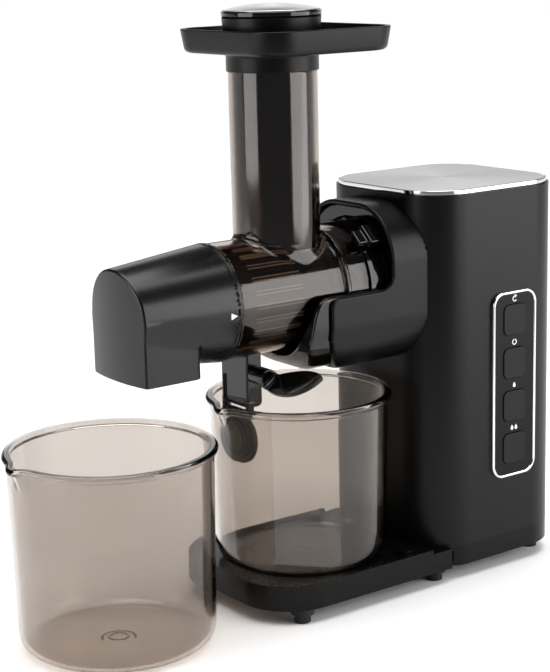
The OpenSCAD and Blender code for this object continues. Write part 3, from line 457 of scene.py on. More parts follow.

# %% [markdown]
# The plate on top of the column is brushed in circles, so light gathers in
# bright and dark sectors that meet in the middle. Anisotropy gives the sectors
# from the lights, and the same sectors are also laid into the colour as a
# painted reflection. Rings of fine noise in the radius are the brush marks.

# %% Steel brushed in circles
def brushed(name, colour, centre_mm, rough=0.26, sectors=0.0):
    """Metal brushed round a centre. The radius is the length of the offset from the centre; noise in it
    alone draws rings. The sector pattern is the cosine of twice the angle and of a wider swing; it is a
    painted reflection, darkening the colour in sectors as deeply as sectors says."""
    marks = 0.6  # mm between brush marks, drawn coarser than real ones
    material, tree = start(name)
    place = add(tree, "TexCoord")
    at = add(tree, "Mapping", [("Vector", place, "Object")], Location=[-c / 1000 for c in centre_mm])
    flat = add(tree, "SeparateXYZ", [("Vector", at, "Vector")])
    angle = add(tree, "Math", [(0, flat, "Y"), (1, flat, "X")], operation="ARCTAN2")
    plane = add(tree, "CombineXYZ", [("X", flat, "X"), ("Y", flat, "Y")])
    radius = add(tree, "VectorMath", [(0, plane, "Vector")], operation="LENGTH")
    where = add(tree, "CombineXYZ", [("X", radius, "Value")])
    rings = add(tree, "TexNoise", [("Vector", where, "Vector")], Scale=1000 / marks, Detail=2.0)
    swing = add(tree, "Math", [(0, angle, "Value")], operation="MULTIPLY")
    swing.inputs[1].default_value = 2.0
    shift = add(tree, "Math", [(0, swing, "Value")], operation="ADD")
    shift.inputs[1].default_value = 0.9
    wave = add(tree, "Math", [(0, shift, "Value")], operation="COSINE")
    # painted reflection: sectors round the centre darken the base colour
    painted_sectors = add(tree, "MapRange", [("Value", wave, "Value")])
    painted_sectors.inputs["From Min"].default_value = -1.0
    painted_sectors.inputs["To Min"].default_value = 1.0 - sectors
    tone = add(tree, "ValToRGB", [("Fac", rings, "Fac")])
    base = np.array(linear(colour))
    tone.color_ramp.elements[0].position = 0.3
    tone.color_ramp.elements[0].color = [*(base[:3] * 0.86), 1]
    tone.color_ramp.elements[1].position = 0.7
    tone.color_ramp.elements[1].color = [*np.minimum(base[:3] * 1.08, 1), 1]
    grey = add(tree, "VectorMath", [(0, tone, "Color")], operation="SCALE")
    tree.links.new(painted_sectors.outputs["Result"], grey.inputs["Scale"])
    tangent = add(tree, "Tangent", direction_type="RADIAL", axis="Z")
    bump = add(tree, "Bump", [("Height", rings, "Fac")], Strength=0.12, Distance=0.00002)
    shader = add(tree, "BsdfPrincipled", [
        ("Base Color", grey, "Vector"), ("Tangent", tangent, "Tangent"), ("Normal", bump, "Normal"),
    ], Metallic=1.0, Roughness=rough, Anisotropic=0.6)
    finish(tree, shader)
    return material


# both plates carry a painted reflection of sectors in their colour, strong on the plate and faint on the disc
PLATE = brushed("circle_brushed_stainless", "#d6d7d9", middle("top_plate"), sectors=0.35)
DISC = brushed("spun_aluminium_disc", "#d9dadc", middle("pusher_disc"), rough=0.3, sectors=0.1)

# %% [markdown]
# The drum, its chute and the cups are a clear copolyester tinted with smoke.
# A moulding this thick takes out about a third of the light at each wall, and
# a little more of the blue, so it looks warm grey.

# %% Smoke-tinted clear plastic
def smoke(name, colour, rough=0.02):
    """Clear moulding: full transmission with a tint, and a slow, shallow waviness of the surface such as
    a moulded wall has."""
    material, tree = start(name)
    place = add(tree, "TexCoord")
    wave = add(tree, "TexNoise", [("Vector", place, "Object")], Scale=22.0, Detail=1.0)
    bump = add(tree, "Bump", [("Height", wave, "Fac")], Strength=0.08, Distance=0.0006)
    shader = add(tree, "BsdfPrincipled", [("Normal", bump, "Normal")], Roughness=rough, IOR=1.46)
    shader.inputs["Base Color"].default_value = linear(colour)
    shader.inputs["Transmission Weight"].default_value = 1.0
    passing = add(tree, "BsdfTransparent")
    passing.inputs["Color"].default_value = linear(colour)
    ray = add(tree, "LightPath")
    both = add(tree, "MixShader", [(0, ray, "Is Shadow Ray"), (1, shader, "BSDF"), (2, passing, "BSDF")])
    finish(tree, both)
    return material


CUP_CLEAR = smoke("smoke_tinted_cup_copolyester", "#c8c0b9")
DRUM_CLEAR = smoke("smoke_tinted_drum_copolyester", "#a3958b", 0.07)


# %% Dress a piece
def dress(obj, material, body, nodes=()):
    """Gives a piece its material and body, and hides the nodes that it stands for."""
    obj.data.materials.clear()
    obj.data.materials.append(material)
    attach(obj, body)
    if nodes:
        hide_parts(*nodes)
    return obj


# %% [markdown]
# ## The end cap
# The cap closes the drum and drops the pulp through a square mouth below. It
# is one moulding: a cone that runs from the drum's rim to a narrower, slightly
# bowed front, with an outlet block let down from it. A distance field lets the
# cone, the block and the bow blend with small fillets.

# %% End cap
cap_front, cap_back = CAP_LOW[1], CAP_HIGH[1]
mouth_z = CAP_LOW[2]
block_half = CAP_R - 7.3
block_len = 40.4
cap_wall = 2.6
bow_r = 140
boss_r, boss_len = 10, 43
journal_r, journal_from = 5.05, 36


def cap_solid(x, y, z, g, below):
    """Cone joined to a block and cut by a bowed front; g moves each wall inwards, below opens the mouth."""
    h = z - AXIS_Z
    cone = block_half + (CAP_R - block_half) * np.clip((y - cap_front) / (cap_back - cap_front), 0, 1)
    barrel = np.hypot(x, h) - cone
    block = common_round(np.abs(x) - block_half, y - cap_front - block_len, 3)
    block = common_round(block, np.maximum(mouth_z - below - z, h), 0.8)
    bow = np.hypot(x, y - cap_front - bow_r) - bow_r
    body = join_round(barrel, block, 2) + g
    return common_round(common_round(body, bow + g, max(1.1 - g, 0.4)), y - cap_back, 0.7)


def cap_field(x, y, z):
    """The cap's solid less the same solid moved inwards, with a groove behind its rim."""
    h = z - AXIS_Z
    outer = cap_solid(x, y, z, 0, 0)
    boss = np.maximum(np.hypot(x, h) - boss_r, y - cap_front - boss_len)
    inner = np.maximum(cap_solid(x, y, z, cap_wall, 4), -boss)
    bore = np.maximum(np.hypot(x, h) - (CAP_R - cap_wall), cap_back - 12 - y)
    journal = np.maximum(np.hypot(x, h) - journal_r, cap_front + journal_from - y)
    hollow = np.minimum(np.minimum(inner, bore), journal)
    rim = CAP_R - 0.45
    groove = np.maximum(np.abs(y - cap_back + 3.4) - 0.55, rim - 0.55 - np.hypot(x, h))
    return np.maximum(cut_round(outer, hollow, 0.5), -groove)


cap = mould("end_cap_moulding", cap_field, CAP_LOW, CAP_HIGH, 1.0)
dress(cap, SHEEN, "cap", ["end_cap"])

# %% [markdown]
# ## The nose
# The nose is the collar that stands out of the column to hold the drum. Its
# upper half is cut back so that the drum can be turned and drawn out, and its
# lower half reaches forward under it. A polished lining stands proud of the
# matt shell and catches a long reflection along its lip.

# %% Nose shell and lining
nose_half = NOSE_HIGH[0]
nose_mid = (NOSE_LOW[2] + NOSE_HIGH[2]) / 2
nose_high = (NOSE_HIGH[2] - NOSE_LOW[2]) / 2
col_low, col_high = ends("column_housing")
col_mid = (col_low + col_high) / 2
col_half = (col_high - col_low) / 2
bore_r = 38.8
shell_wall, nose_corner = 2.6, 34
fit_gap = 0.05


def column(x, y):
    """Distance to the column's upright outline."""
    return plate(x - col_mid[0], y - col_mid[1], col_half[0], col_half[1], 30)


def nose_side(y, z, up, low, cut, inner_r, edge_r, curve):
    """Side outline: everything behind the upper edge, joined to a lower block whose bottom front corner
    is a large curve."""
    upper = up - y
    far, drop = 60.0, 52
    cy, half_y = (low + far) / 2, (far - low) / 2
    cz, half_z = (cut + AXIS_Z - drop) / 2, (cut - AXIS_Z + drop) / 2
    r = np.where(z < cz, curve, edge_r)
    dy, dz = np.abs(y - cy) - half_y + r, np.abs(z - cz) - half_z + r
    lower = np.hypot(np.maximum(dy, 0), np.maximum(dz, 0)) + np.minimum(np.maximum(dy, dz), 0) - r
    return join_round(upper, lower, inner_r)


def nose_field(x, y, z):
    """Rounded section along the drum, cut to the side outline and hollowed for the lining."""
    section = plate(x, z - nose_mid, nose_half, nose_high, nose_corner)
    side = nose_side(y, z, 0.5, NOSE_LOW[1], AXIS_Z + 0.3, 8, 6, 34)
    shell = common_round(section, side, 1.2)
    shell = cut_round(shell, section + shell_wall, 0.5)
    return np.maximum(np.maximum(shell, -column(x, y)), y - NOSE_HIGH[1])


def liner_field(x, y, z):
    """The lining fills the shell's hollow, is bored for the locking ring, and reaches further forward."""
    inset = shell_wall + fit_gap
    section = plate(x, z - nose_mid, nose_half - inset, nose_high - inset, nose_corner - shell_wall)
    side = nose_side(y, z, 4, LINER_LOW[1], AXIS_Z + 1, 3, 8, 30)
    run, rise, length = 8, 17, 18.8
    slant = (run * (z - AXIS_Z - 1) - rise * (y - LINER_LOW[1] - run)) / length
    side = common_round(side, slant, 5)
    solid = common_round(section, side, 1.6)
    h = z - AXIS_Z
    bore = np.maximum(np.hypot(x, h) - bore_r, y - col_low[1] + 7.3)
    snout = np.hypot(x, h) - 18.2
    turned = np.radians(48)
    along = x * np.cos(turned) + h * np.sin(turned)
    across = -x * np.sin(turned) + h * np.cos(turned)
    window = np.maximum(slab(along, bore_r + 0.3, bore_r + 7), slab(across, -7.3, 7.3))
    window = np.maximum(window, slab(y, -9.3, 12.3))
    solid = cut_round(solid, bore, 0.9)
    solid = np.maximum(np.maximum(solid, -np.maximum(snout, -y)), -window)
    return np.maximum(np.maximum(solid, -column(x, y)), y - col_low[1] - 4)


nose = mould("nose_moulding", nose_field, NOSE_LOW, NOSE_HIGH, 1.0)
dress(nose, HOUSING, "motor_unit", ["nose_shell"])
liner = mould("nose_lining", liner_field, LINER_LOW, LINER_HIGH, 1.0)
dress(liner, POLISHED, "motor_unit", ["nose_liner"])

# %% [markdown]
# ## The drum and its chute
# The drum is one clear moulding: a tube with a chute standing on it. Where the
# two meet the wall thickens into a fillet, which is what bends the light there
# into amber streaks. Two flanges behind it are the bright rings in front of
# the locking ring.

# %% Drum
drum_front, drum_back = CAP_HIGH[1], DRUM_HIGH[1]
chute_r, chute_wall = 26.3, 2.1
chute_top = TRAY_LOW[2]
# where the juice leaves the drum, and the radius of that bore
mouth_y, juice_r = SPOUT_LOW[1] + 5.5, 3.5
# flanges behind the tube: height over it, depth from and to, edge radius
FLANGES = [(2.8, -28.5, -26, 0.6), (2, -27, -11.2, 0.4), (1.1, -23.6, -22.4, 0.4)]


def drum_field(x, y, z):
    """Tube and flanges along the axis joined to the upright chute, with both bores taken away."""
    h = z - AXIS_Z
    r = np.hypot(x, h)
    s = np.hypot(x, y - CHUTE_Y)
    tube = common_round(r - DRUM_R, slab(y, drum_front, drum_back), 0.5)
    spigot = np.maximum(r - (CAP_R - cap_wall - 0.3), slab(y, DRUM_LOW[1], drum_front + 1))
    chute = common_round(s - chute_r, slab(z, AXIS_Z, chute_top), 0.5)
    neck = common_round(s - chute_r + 0.6, slab(z, AXIS_Z, DRUM_HIGH[2]), 0.4)
    outer = join_round(tube, np.minimum(chute, neck), 3.5)
    for high, begin, end, edge in FLANGES:
        outer = np.minimum(outer, common_round(r - DRUM_R - high, slab(y, begin, end), edge))
    outer = np.minimum(outer, spigot)
    bore = np.maximum(r - DRUM_R + 2.6, slab(y, drum_front + 0.5, 0.5))
    front = np.maximum(r - (CAP_R - cap_wall - 2.3), y - drum_front - 1)
    shaft = np.maximum(s - chute_r + chute_wall, AXIS_Z - z)
    hub = np.maximum(r - 12, -y)
    mouth = np.maximum(np.hypot(x, y - mouth_y) - juice_r, h)
    hollow = np.minimum(np.minimum(bore, front), np.minimum(hub, mouth))
    return cut_round(outer, np.minimum(hollow, shaft), 0.5)


drum = mould("clear_drum", drum_field, DRUM_LOW, DRUM_HIGH, 1.25)
dress(drum, DRUM_CLEAR, "motor_unit", ["drum"])

# %% [markdown]
# Inside the drum the sieve's slots show as pairs of light lines round the
# front half. They are painted highlights: thin pale bars laid on the basket,
# made all at once: the angles are an array, and each bar is a small box turned
# to its angle.

# %% Sieve bars
def bars(name, angles, half_w, r0, r1, y0, y1):
    """Boxes between two radii and two depths, turned about the drum's axis to an array of angles."""
    corner = np.array([[sx, sr, sy] for sy in (0, 1) for sr in (0, 1) for sx in (-1, 1)], float)
    u = corner[:, 0] * half_w
    r = r0 + (r1 - r0) * corner[:, 1]
    y = y0 + (y1 - y0) * corner[:, 2]
    a = np.asarray(angles)[:, None]
    points = np.stack([r * np.sin(a) + u * np.cos(a), y + 0 * a, AXIS_Z + r * np.cos(a) - u * np.sin(a)], -1)
    quad = np.array([[0, 1, 3, 2], [4, 6, 7, 5], [0, 4, 5, 1], [2, 3, 7, 6], [0, 2, 6, 4], [1, 5, 7, 3]])
    quads = (quad[None] + 8 * np.arange(len(points))[:, None, None]).reshape(-1, 4)
    return make_object(name, points.reshape(-1, 3), quads)


pair = np.radians(np.arange(0, 360, 15))[:, None] + np.radians([-1.9, 1.9])
basket_r = ends("strainer_frame")[1][0]
# pale bars: painted highlights for the light lines over the sieve's slots
slots = bars("sieve_bars", pair.ravel(), 0.32, basket_r - 0.6, basket_r + 0.25, -91, -57)
for polygon in slots.data.polygons:
    polygon.use_smooth = False
dress(slots, SLOT_HIGHLIGHT, "motor_unit")
print("sieve bars", len(pair) * 2)

# %% [markdown]
# ## The cups
# Each cup is a profile turned round its axis: a rounded foot, a slightly
# flared wall and a rolled rim. A pouring lip is drawn out of the rim towards
# the front by moving points outwards near one angle, more the higher they are.

# %% Cups
def cup(name, node, body):
    """Closed wall turned round the cup's axis. Near the pouring lip a point moves outwards by a bell curve
    of the angle times a smooth rise over the last 18 mm of height."""
    low, high = ends(node)
    rim = high[0]
    height = high[2] - low[2]
    foot, top, bend, wall = rim - 4.6, rim - 2.4, 12, 2.2
    lip_tall, lip_out, lip_dip = 18, 4.2, 1.0
    corners = [
        (0, 1.2), (9, 1.2, 1), (10.5, 0, 1), (foot, 0, bend), (top, height - 4.2, 2),
        (rim - 0.5, height - 3.6, 1), (rim, height - 1.8, 1.2), (rim - 1.4, height, 1.4),
        (top - wall - 0.2, height, 0.8),
        (foot - wall, wall, bend - wall), (6.4, wall, 0.5), (6.0, wall + 0.5, 0.4), (5.0, wall + 0.5, 0.4),
        (4.6, wall, 0.5), (0, wall),
    ]
    profile = rounded(corners, 9)
    tall = np.abs(np.diff(profile[:, 1])) > 20
    more = [np.linspace(a, b, 26 if t else 2)[:-1] for a, b, t in zip(profile[:-1], profile[1:], tall)]
    profile = np.concatenate(more + [profile[-1:]])
    a = np.linspace(0, 2 * np.pi, 160, endpoint=False)
    r, h = profile[:, :1], profile[:, 1:2]
    off = (a + np.pi) % (2 * np.pi) - np.pi
    rise = np.clip((h - height + lip_tall) / lip_tall, 0, 1)
    rise = rise * rise * (3 - 2 * rise)
    pull = lip_out * rise * np.exp(-(off / 0.13) ** 2)
    radius = r + pull
    dip = lip_dip * rise * np.exp(-(off / 0.1) ** 2)
    centre = np.array([0, high[1] - rim, low[2]])
    grid = np.stack([radius * np.sin(a), -radius * np.cos(a), h - dip], -1) + centre
    obj = sweep(name, grid, path=False)
    dress(obj, CUP_CLEAR, body, [node])
    print(name, "rim radius", round(rim, 1), "height", round(height, 1))
    return obj


cup("juice_cup_clear", "juice_cup", "juice_cup")
cup("pulp_cup_clear", "pulp_cup", "pulp_cup")

# %% [markdown]
# ## The feed tray
# The tray is a shallow dish with sloping walls on a round collar. Its outline
# changes from a circle at the collar to a rounded square at the rim, so each
# ring of the sweep is a blend of the two.

# %% Feed tray
def square_radius(a, half_x, half_y, r):
    """Distance from the middle of a rounded rectangle to its edge at each angle, found by halving."""
    low, high = np.zeros_like(a), np.full_like(a, 200.0)
    for _ in range(40):
        half = (low + high) / 2
        inside = plate(half * np.cos(a), half * np.sin(a), half_x, half_y, r) < 0
        low, high = np.where(inside, half, low), np.where(inside, high, half)
    return low


tray_mid = (TRAY_LOW + TRAY_HIGH) / 2
tray_half = (TRAY_HIGH - TRAY_LOW) / 2
tray_floor = DRUM_HIGH[2]
rim_z = TRAY_HIGH[2]
neck = chute_r - 0.6
tray_wall, tray_corner = 2.6, 20.0
# rings are round up to the first reach, and follow the rim's outline from the second one on
round_to, square_from, rim_reach = 27.3, 46, 56.6
# the section: reach from the chute's axis, height, corner radius
tray_path = rounded([
    (neck + 0.3, chute_top), (neck + 1.6, chute_top, 0.4), (neck + 1.6, tray_floor, 2.5),
    (54.6, tray_floor, 3.6), (rim_reach, rim_z, 0.7), (54.4, rim_z, 0.7), (52.4, tray_floor + tray_wall, 3.0),
    (24.2, tray_floor + tray_wall, 0.6), (24.2, tray_floor + 0.3), (neck + 0.3, tray_floor + 0.3),
    (neck + 0.3, chute_top),
], 7)
angles = np.linspace(0, 2 * np.pi, 192, endpoint=False)
reach, height = tray_path[:, :1], tray_path[:, 1:2]
grow = np.clip((reach - round_to) / (square_from - round_to), 0, 1)
grow = grow * grow * (3 - 2 * grow)
rim_shape = square_radius(angles, tray_half[0], tray_half[1], tray_corner)
dish = rim_shape * (1 + (reach - rim_reach) / 50.0)
radius = reach * (1 - grow) + dish * grow
middle_y = CHUTE_Y + (tray_mid[1] - CHUTE_Y) * grow
tray_grid = np.stack([radius * np.cos(angles), middle_y + radius * np.sin(angles), height + 0 * angles], -1)
tray = sweep("feed_tray_dish", tray_grid, path=False)
dress(tray, HOUSING, "tray", ["feed_tray"])
print("feed tray", [round(2 * v, 1) for v in tray_half[:2]])

# %% [markdown]
# ## The pusher
# The pusher is a polished stem in the chute and a matt head that rests on the
# tray. A polished band and a domed, spun disc finish the head.

# %% Pusher
head_low = tray_floor + tray_wall
top = ends("pusher_disc")[1][2]
head_r = ends("pusher_band")[1][0]
stem_r = 23.3
stem = rounded([
    (0, PUSH_LOW[2]), (stem_r - 3, PUSH_LOW[2], 2), (stem_r, PUSH_LOW[2] + 3, 2), (stem_r, head_low + 1),
    (0, head_low + 1),
])
dress(lathe("pusher_stem", stem, (0, CHUTE_Y, 0)), POLISHED, "pusher", ["pusher"])
head = rounded([
    (0, head_low + 0.05), (head_r - 1.5, head_low + 0.05, 0.8), (head_r - 0.1, PUSH_HIGH[2] - 0.2, 0.4),
    (head_r - 3, PUSH_HIGH[2]), (0, PUSH_HIGH[2]),
])
dress(lathe("pusher_head", head, (0, CHUTE_Y, 0)), HOUSING, "pusher")
band_z = ends("pusher_band")[0][2]
band = rounded([
    (head_r - 3, band_z), (head_r - 0.3, band_z, 0.4), (head_r + 0.1, band_z + 0.8, 0.5),
    (head_r + 0.1, band_z + 3.0, 0.6), (head_r - 0.6, band_z + 3.6, 0.3), (head_r - 3, band_z + 3.6),
    (head_r - 3, band_z),
])
dress(lathe("pusher_gloss_band", band, (0, CHUTE_Y, 0)), POLISHED, "pusher", ["pusher_band"])
dome_t = np.linspace(0, 1, 24)[:, None]
dome = np.hstack([(head_r - 0.6) * dome_t, top - (top - band_z - 3.9) * dome_t ** 2.2])[::-1]
disc = np.vstack([[(0, band_z + 0.05)], [(head_r - 3.1, band_z + 0.05)], [(head_r - 3.1, band_z + 3.55)],
                  [(head_r - 0.7, band_z + 3.65)], dome])
spun = lathe("pusher_spun_disc", disc, (0, CHUTE_Y, 0), turns=160)
dress(spun, DISC, "pusher", ["pusher_disc"])
print("pusher top", round(top, 1))

# %% [markdown]
# ## The juice spout, its tap and its stopper
# Juice leaves through a narrow block under the drum whose front is a frame
# round a shallow recess. A spoon-shaped lever beside it turns the tap, and a
# silicone stopper hangs from two ears below.

# %% Spout block
spout_half = SPOUT_HIGH[0]
spout_front, spout_back = SPOUT_LOW[1], SPOUT_HIGH[1]
pin = middle("stopper_pin")
sill = pin[2] + 4.4
tap_low, tap_high = ends("tap_lever")
tap_z = sill + 20.5
tap_r, spindle_r = 4.05, 4


def spout_field(x, y, z):
    """Upright block fitted under the drum, with a framed recess, the juice bore, the tap's bore and ears."""
    depth = (spout_back - spout_front) / 2
    block = common_round(plate(x, y - spout_front - depth, spout_half, depth, 1.2), sill - z, 1.0)
    heel = np.hypot(np.maximum(y - spout_back + 4.5, 0), np.maximum(sill + 4.5 - z, 0)) - 4.5
    block = np.maximum(block, heel)
    sides = slab(np.abs(x), spout_half - 3, spout_half)
    ear = np.maximum(sides, np.hypot(y - pin[1] - 0.4, z - pin[2]) - 2.4)
    strap = np.maximum(sides, slab(y, spout_front + 0.2, spout_front + 4.6))
    strap = np.maximum(strap, slab(z, pin[2], sill + 3))
    body = join_round(block, np.minimum(ear, strap), 0.4)
    recess = common_round(plate(x, z - sill - 9.2, spout_half - 1.9, 8.2, 1.4), y - spout_front - 1.5, 0.5)
    bore = np.maximum(np.hypot(x, y - mouth_y) - juice_r, slab(z, sill - 9, sill + 90))
    tap = np.maximum(np.hypot(y - mouth_y, z - tap_z) - tap_r, -5 - x)
    body = cut_round(body, recess, 0.4)
    body = np.maximum(np.maximum(body, -bore), -tap)
    return np.maximum(body, DRUM_R + 0.05 - np.hypot(x, z - AXIS_Z))


spout = mould("spout_block", spout_field, SPOUT_LOW, SPOUT_HIGH, 0.5)
dress(spout, POLISHED, "motor_unit", ["juice_spout"])

# %% Tap lever
def lever_field(x, y, z):
    """A spoon: the shell of a large ball cut to a leaf outline, tilted up from its root, and joined to a
    round bar whose spindle enters the block."""
    v, h = y - mouth_y, z - tap_z
    bar = common_round(np.hypot(v, h) - 5.4, slab(x, spout_half + 0.35, spout_half + 15), 0.8)
    spindle = np.maximum(np.hypot(v, h) - spindle_r, slab(x, -4.9, spout_half + 1))
    tilt, twist = np.radians(7), np.radians(38)
    u = x - spout_half - 26
    a = u * np.cos(tilt) + h * np.sin(tilt)
    w = -u * np.sin(tilt) + h * np.cos(tilt)
    b = v * np.cos(twist) + w * np.sin(twist)
    c = -v * np.sin(twist) + w * np.cos(twist)
    ball, leaf_l, leaf_w = 58.0, 69.0, 19.5
    sheet = np.abs(np.sqrt(a * a * 0.5 + b * b * 1.6 + (c - ball + 2.5) ** 2) - ball) - 1.3
    leaf_rad = (leaf_l ** 2 + leaf_w ** 2) / (4 * leaf_w)
    leaf = np.hypot(a - 12.5, np.abs(b) + leaf_rad - leaf_w / 2) - leaf_rad
    spoon = common_round(sheet, leaf, 1.1)
    body = join_round(bar, spoon, 3)
    body = np.minimum(body, spindle)
    hole = np.maximum(np.hypot(x, v) - 2.5, np.abs(h) - 6)
    return np.maximum(body, -hole)


lever = mould("tap_lever_spoon", lever_field, tap_low - [1, 3, 4], tap_high + [7, 3, 4], 0.6)
dress(lever, POLISHED, "tap", ["tap_lever"])


# %% Drip stopper
stop_low, stop_high = ends("drip_stopper")
stop_r = stop_high[0]
stop_z = stop_low[2] + stop_r
groove_r, dimple_r, hub_r = 10.4, 8, 2.5


def stopper_field(x, y, z):
    """Two stacked discs with a dimple in the front one, a web above them and a hub round the pin."""
    r = np.hypot(x, z - stop_z)
    ring = common_round(r - stop_r, slab(y, stop_high[1] - 3.5, stop_high[1]), 0.8)
    face = common_round(r - stop_r + 1.5, slab(y, stop_low[1], stop_high[1]), 1.0)
    lip = np.maximum(np.abs(r - groove_r) - 0.5, y - stop_low[1] - 0.6)
    dimple = common_round(r - dimple_r, y - stop_low[1] - 1.2, 0.4)
    web = common_round(slab(x, -7, 7), slab(y, stop_high[1] - 4, stop_high[1]), 0.6)
    web = np.maximum(web, slab(z, pin[2] - 8, pin[2]))
    hub = common_round(np.hypot(y - pin[1], z - pin[2]) - hub_r, np.abs(x) - 8, 0.5)
    body = join_round(np.minimum(ring, face), np.minimum(web, hub), 0.8)
    body = cut_round(body, np.minimum(dimple, lip), 0.3)
    return np.maximum(body, 1.3 - np.hypot(y - pin[1], z - pin[2]))


stopper = mould("drip_stopper_plug", stopper_field, stop_low, stop_high, 0.5)
dress(stopper, SILICONE, "stopper", ["drip_stopper"])

# %% [markdown]
# ## Hard pieces from the measured ones
# The column, the base, the trim and the keys already have the right shape. A
# merged copy gets a narrow bevel, because no moulded or pressed edge is
# perfectly sharp and the bevel is what catches the light. The control strip
# stands a little further out, so its bright ring shows its side.

# %% Soften the edges of a copy
def soften(node, material, width, segments=2, out=0.0):
    """Merged copy of a node's mesh with a bevel of a width in millimetres on its sharp edges, moved out
    of the column's side by some millimetres."""
    angle = 38
    source = frame["nodes"][node]
    mesh = source.data.copy()
    shape = bmesh.new()
    shape.from_mesh(mesh)
    bmesh.ops.remove_doubles(shape, verts=shape.verts, dist=0.00001)
    bmesh.ops.translate(shape, verts=shape.verts, vec=(out / 1000, 0, 0))
    bmesh.ops.dissolve_limit(shape, angle_limit=0.01, verts=shape.verts, edges=shape.edges)
    for face in shape.faces:
        face.smooth = True
    shape.to_mesh(mesh)
    shape.free()
    if mesh.has_custom_normals:
        mesh.attributes.remove(mesh.attributes["custom_normal"])
    obj = bpy.data.objects.new(node + "_finished", mesh)
    bpy.context.scene.collection.objects.link(obj)
    bevel = obj.modifiers.new("edge", "BEVEL")
    bevel.width = width / 1000
    bevel.segments = segments
    bevel.limit_method = "ANGLE"
    bevel.angle_limit = np.radians(angle)
    bevel.harden_normals = False
    weighted = obj.modifiers.new("even_shading", "WEIGHTED_NORMAL")
    weighted.keep_sharp = True
    dress(obj, material, body_of(source)[0], [node])
    return obj


soften("column_housing", HOUSING, 0.7)
soften("base_tray", SATIN, 0.6)
soften("top_trim", CHROME, 0.5)
soften("top_plate", PLATE, 0.25)
bezel_out = 1.6
panel_out = ends("panel_bezel")[1][0] + bezel_out - 0.8 - ends("panel_face")[1][0]
soften("panel_bezel", CHROME, 0.9, segments=3, out=bezel_out)
soften("panel_face", PANEL, 0.25, out=panel_out)
for key in ("reverse", "off", "soft", "hard"):
    soften("button_" + key, KEYS, 0.8, segments=3, out=panel_out)
soften("release_catch", POLISHED, 1.0, segments=3)
soften("drum_ring", POLISHED, 0.6)
soften("rubber_feet", RUBBER, 0.5)
print("softened copies made")

# %% [markdown]
# ## Marks
# A small white triangle on the cap shows where to turn it, and a plain sign
# stands over each key: a turned arrow, a ring, one drop and two drops.

# %% White marks
MARK_THICK = 0.15


def badge(name, outline, lift, body):
    """Thin plate over a flat outline of (u, v) points; lift puts (u, v, height) in place."""
    n = len(outline)
    centre = outline.mean(0)
    rings = [(0.0, 0.0), (0.0, 1.0), (MARK_THICK, 1.0), (MARK_THICK, 0.0)]
    uv = np.stack([centre + (outline - centre) * s for _, s in rings])
    up = np.array([t for t, _ in rings])[:, None] * np.ones(n)
    obj = sweep(name, lift(uv[..., 0], uv[..., 1], up), path=False)
    for polygon in obj.data.polygons:
        polygon.use_smooth = False
    return dress(obj, INK, body)


def on_cap(u, v, t):
    """Along the cap by u and round it by v over the cone's radius, t above its wall."""
    y = cap_back - 6.2 + u
    r = block_half + (CAP_R - block_half) * (y - cap_front) / (cap_back - cap_front) + t - 0.03
    a = v / CAP_R
    return np.stack([r * np.cos(a), y, AXIS_Z - 1.8 + r * np.sin(a)], -1)


badge("turn_mark", np.array([(-2.2, -2.0), (2.0, 0.0), (-2.2, 2.0)]), on_cap, "cap")
face_x = ends("panel_face")[1][0] + panel_out


def on_panel(y0, z0):
    """A placer for the panel's face about a point on it."""
    return lambda u, v, t: np.stack([face_x - 0.02 + t, y0 + u, z0 + v], -1)


def arc_band(r, width, a0, a1):
    """Outline of a bent band: the outer arc, then the inner one back."""
    steps = 26
    a = np.radians(np.linspace(a0, a1, steps))
    ring = np.column_stack([np.cos(a), np.sin(a)])
    return np.vstack([ring * (r + width / 2), ring[::-1] * (r - width / 2)])


def band_badge(name, outline, place, body):
    """Thin bent plate: its two arcs are the long sides of a strip of faces."""
    n = len(outline) // 2
    outer, inner = outline[:n], outline[n:][::-1]
    ring = np.stack([outer, outer, inner, inner])
    up = np.array([0, MARK_THICK, MARK_THICK, 0])[:, None] * np.ones(n)
    obj = sweep(name, place(ring[..., 0], ring[..., 1], up), ring=False)
    for polygon in obj.data.polygons:
        polygon.use_smooth = False
    return dress(obj, INK, body)


def drop_outline(size):
    """A drop: a circle drawn up to a point where the angle is a right angle."""
    steps = 28
    a = np.linspace(0, 2 * np.pi, steps, endpoint=False)
    r = size * (1 + 0.75 * np.clip(np.sin(a), 0, 1) ** 6)
    return np.column_stack([r * np.cos(a) * (1 - 0.25 * np.clip(np.sin(a), 0, 1)), r * np.sin(a)])


for key in ("reverse", "off", "soft", "hard"):
    low, high = ends("button_" + key)
    y0, z0 = (low[1] + high[1]) / 2, high[2] + 2.6
    if key == "reverse":
        band_badge("sign_reverse_arc", arc_band(1.6, 0.6, 60, 330), on_panel(y0, z0), "motor_unit")
        arrow = np.array([(0.0, 2.9), (0.0, 0.4), (2.0, 1.7)])
        badge("sign_reverse_head", arrow, on_panel(y0, z0), "motor_unit")
    if key == "off":
        band_badge("sign_off_ring", arc_band(1.6, 0.6, 100, 440), on_panel(y0, z0), "motor_unit")
    for k in {"soft": [0.0], "hard": [-1.7, 1.7]}.get(key, []):
        badge("sign_%s_drop_%d" % (key, k > 0), drop_outline(1.15), on_panel(y0 + k, z0 - 0.3), "motor_unit")
print("marks made")

# %% [markdown]
# ## Materials for the nodes that keep their own mesh
# These are the pieces inside or half hidden: bearings, gears, motor, board,
# basket and auger. Each gets the finish of the real thing.

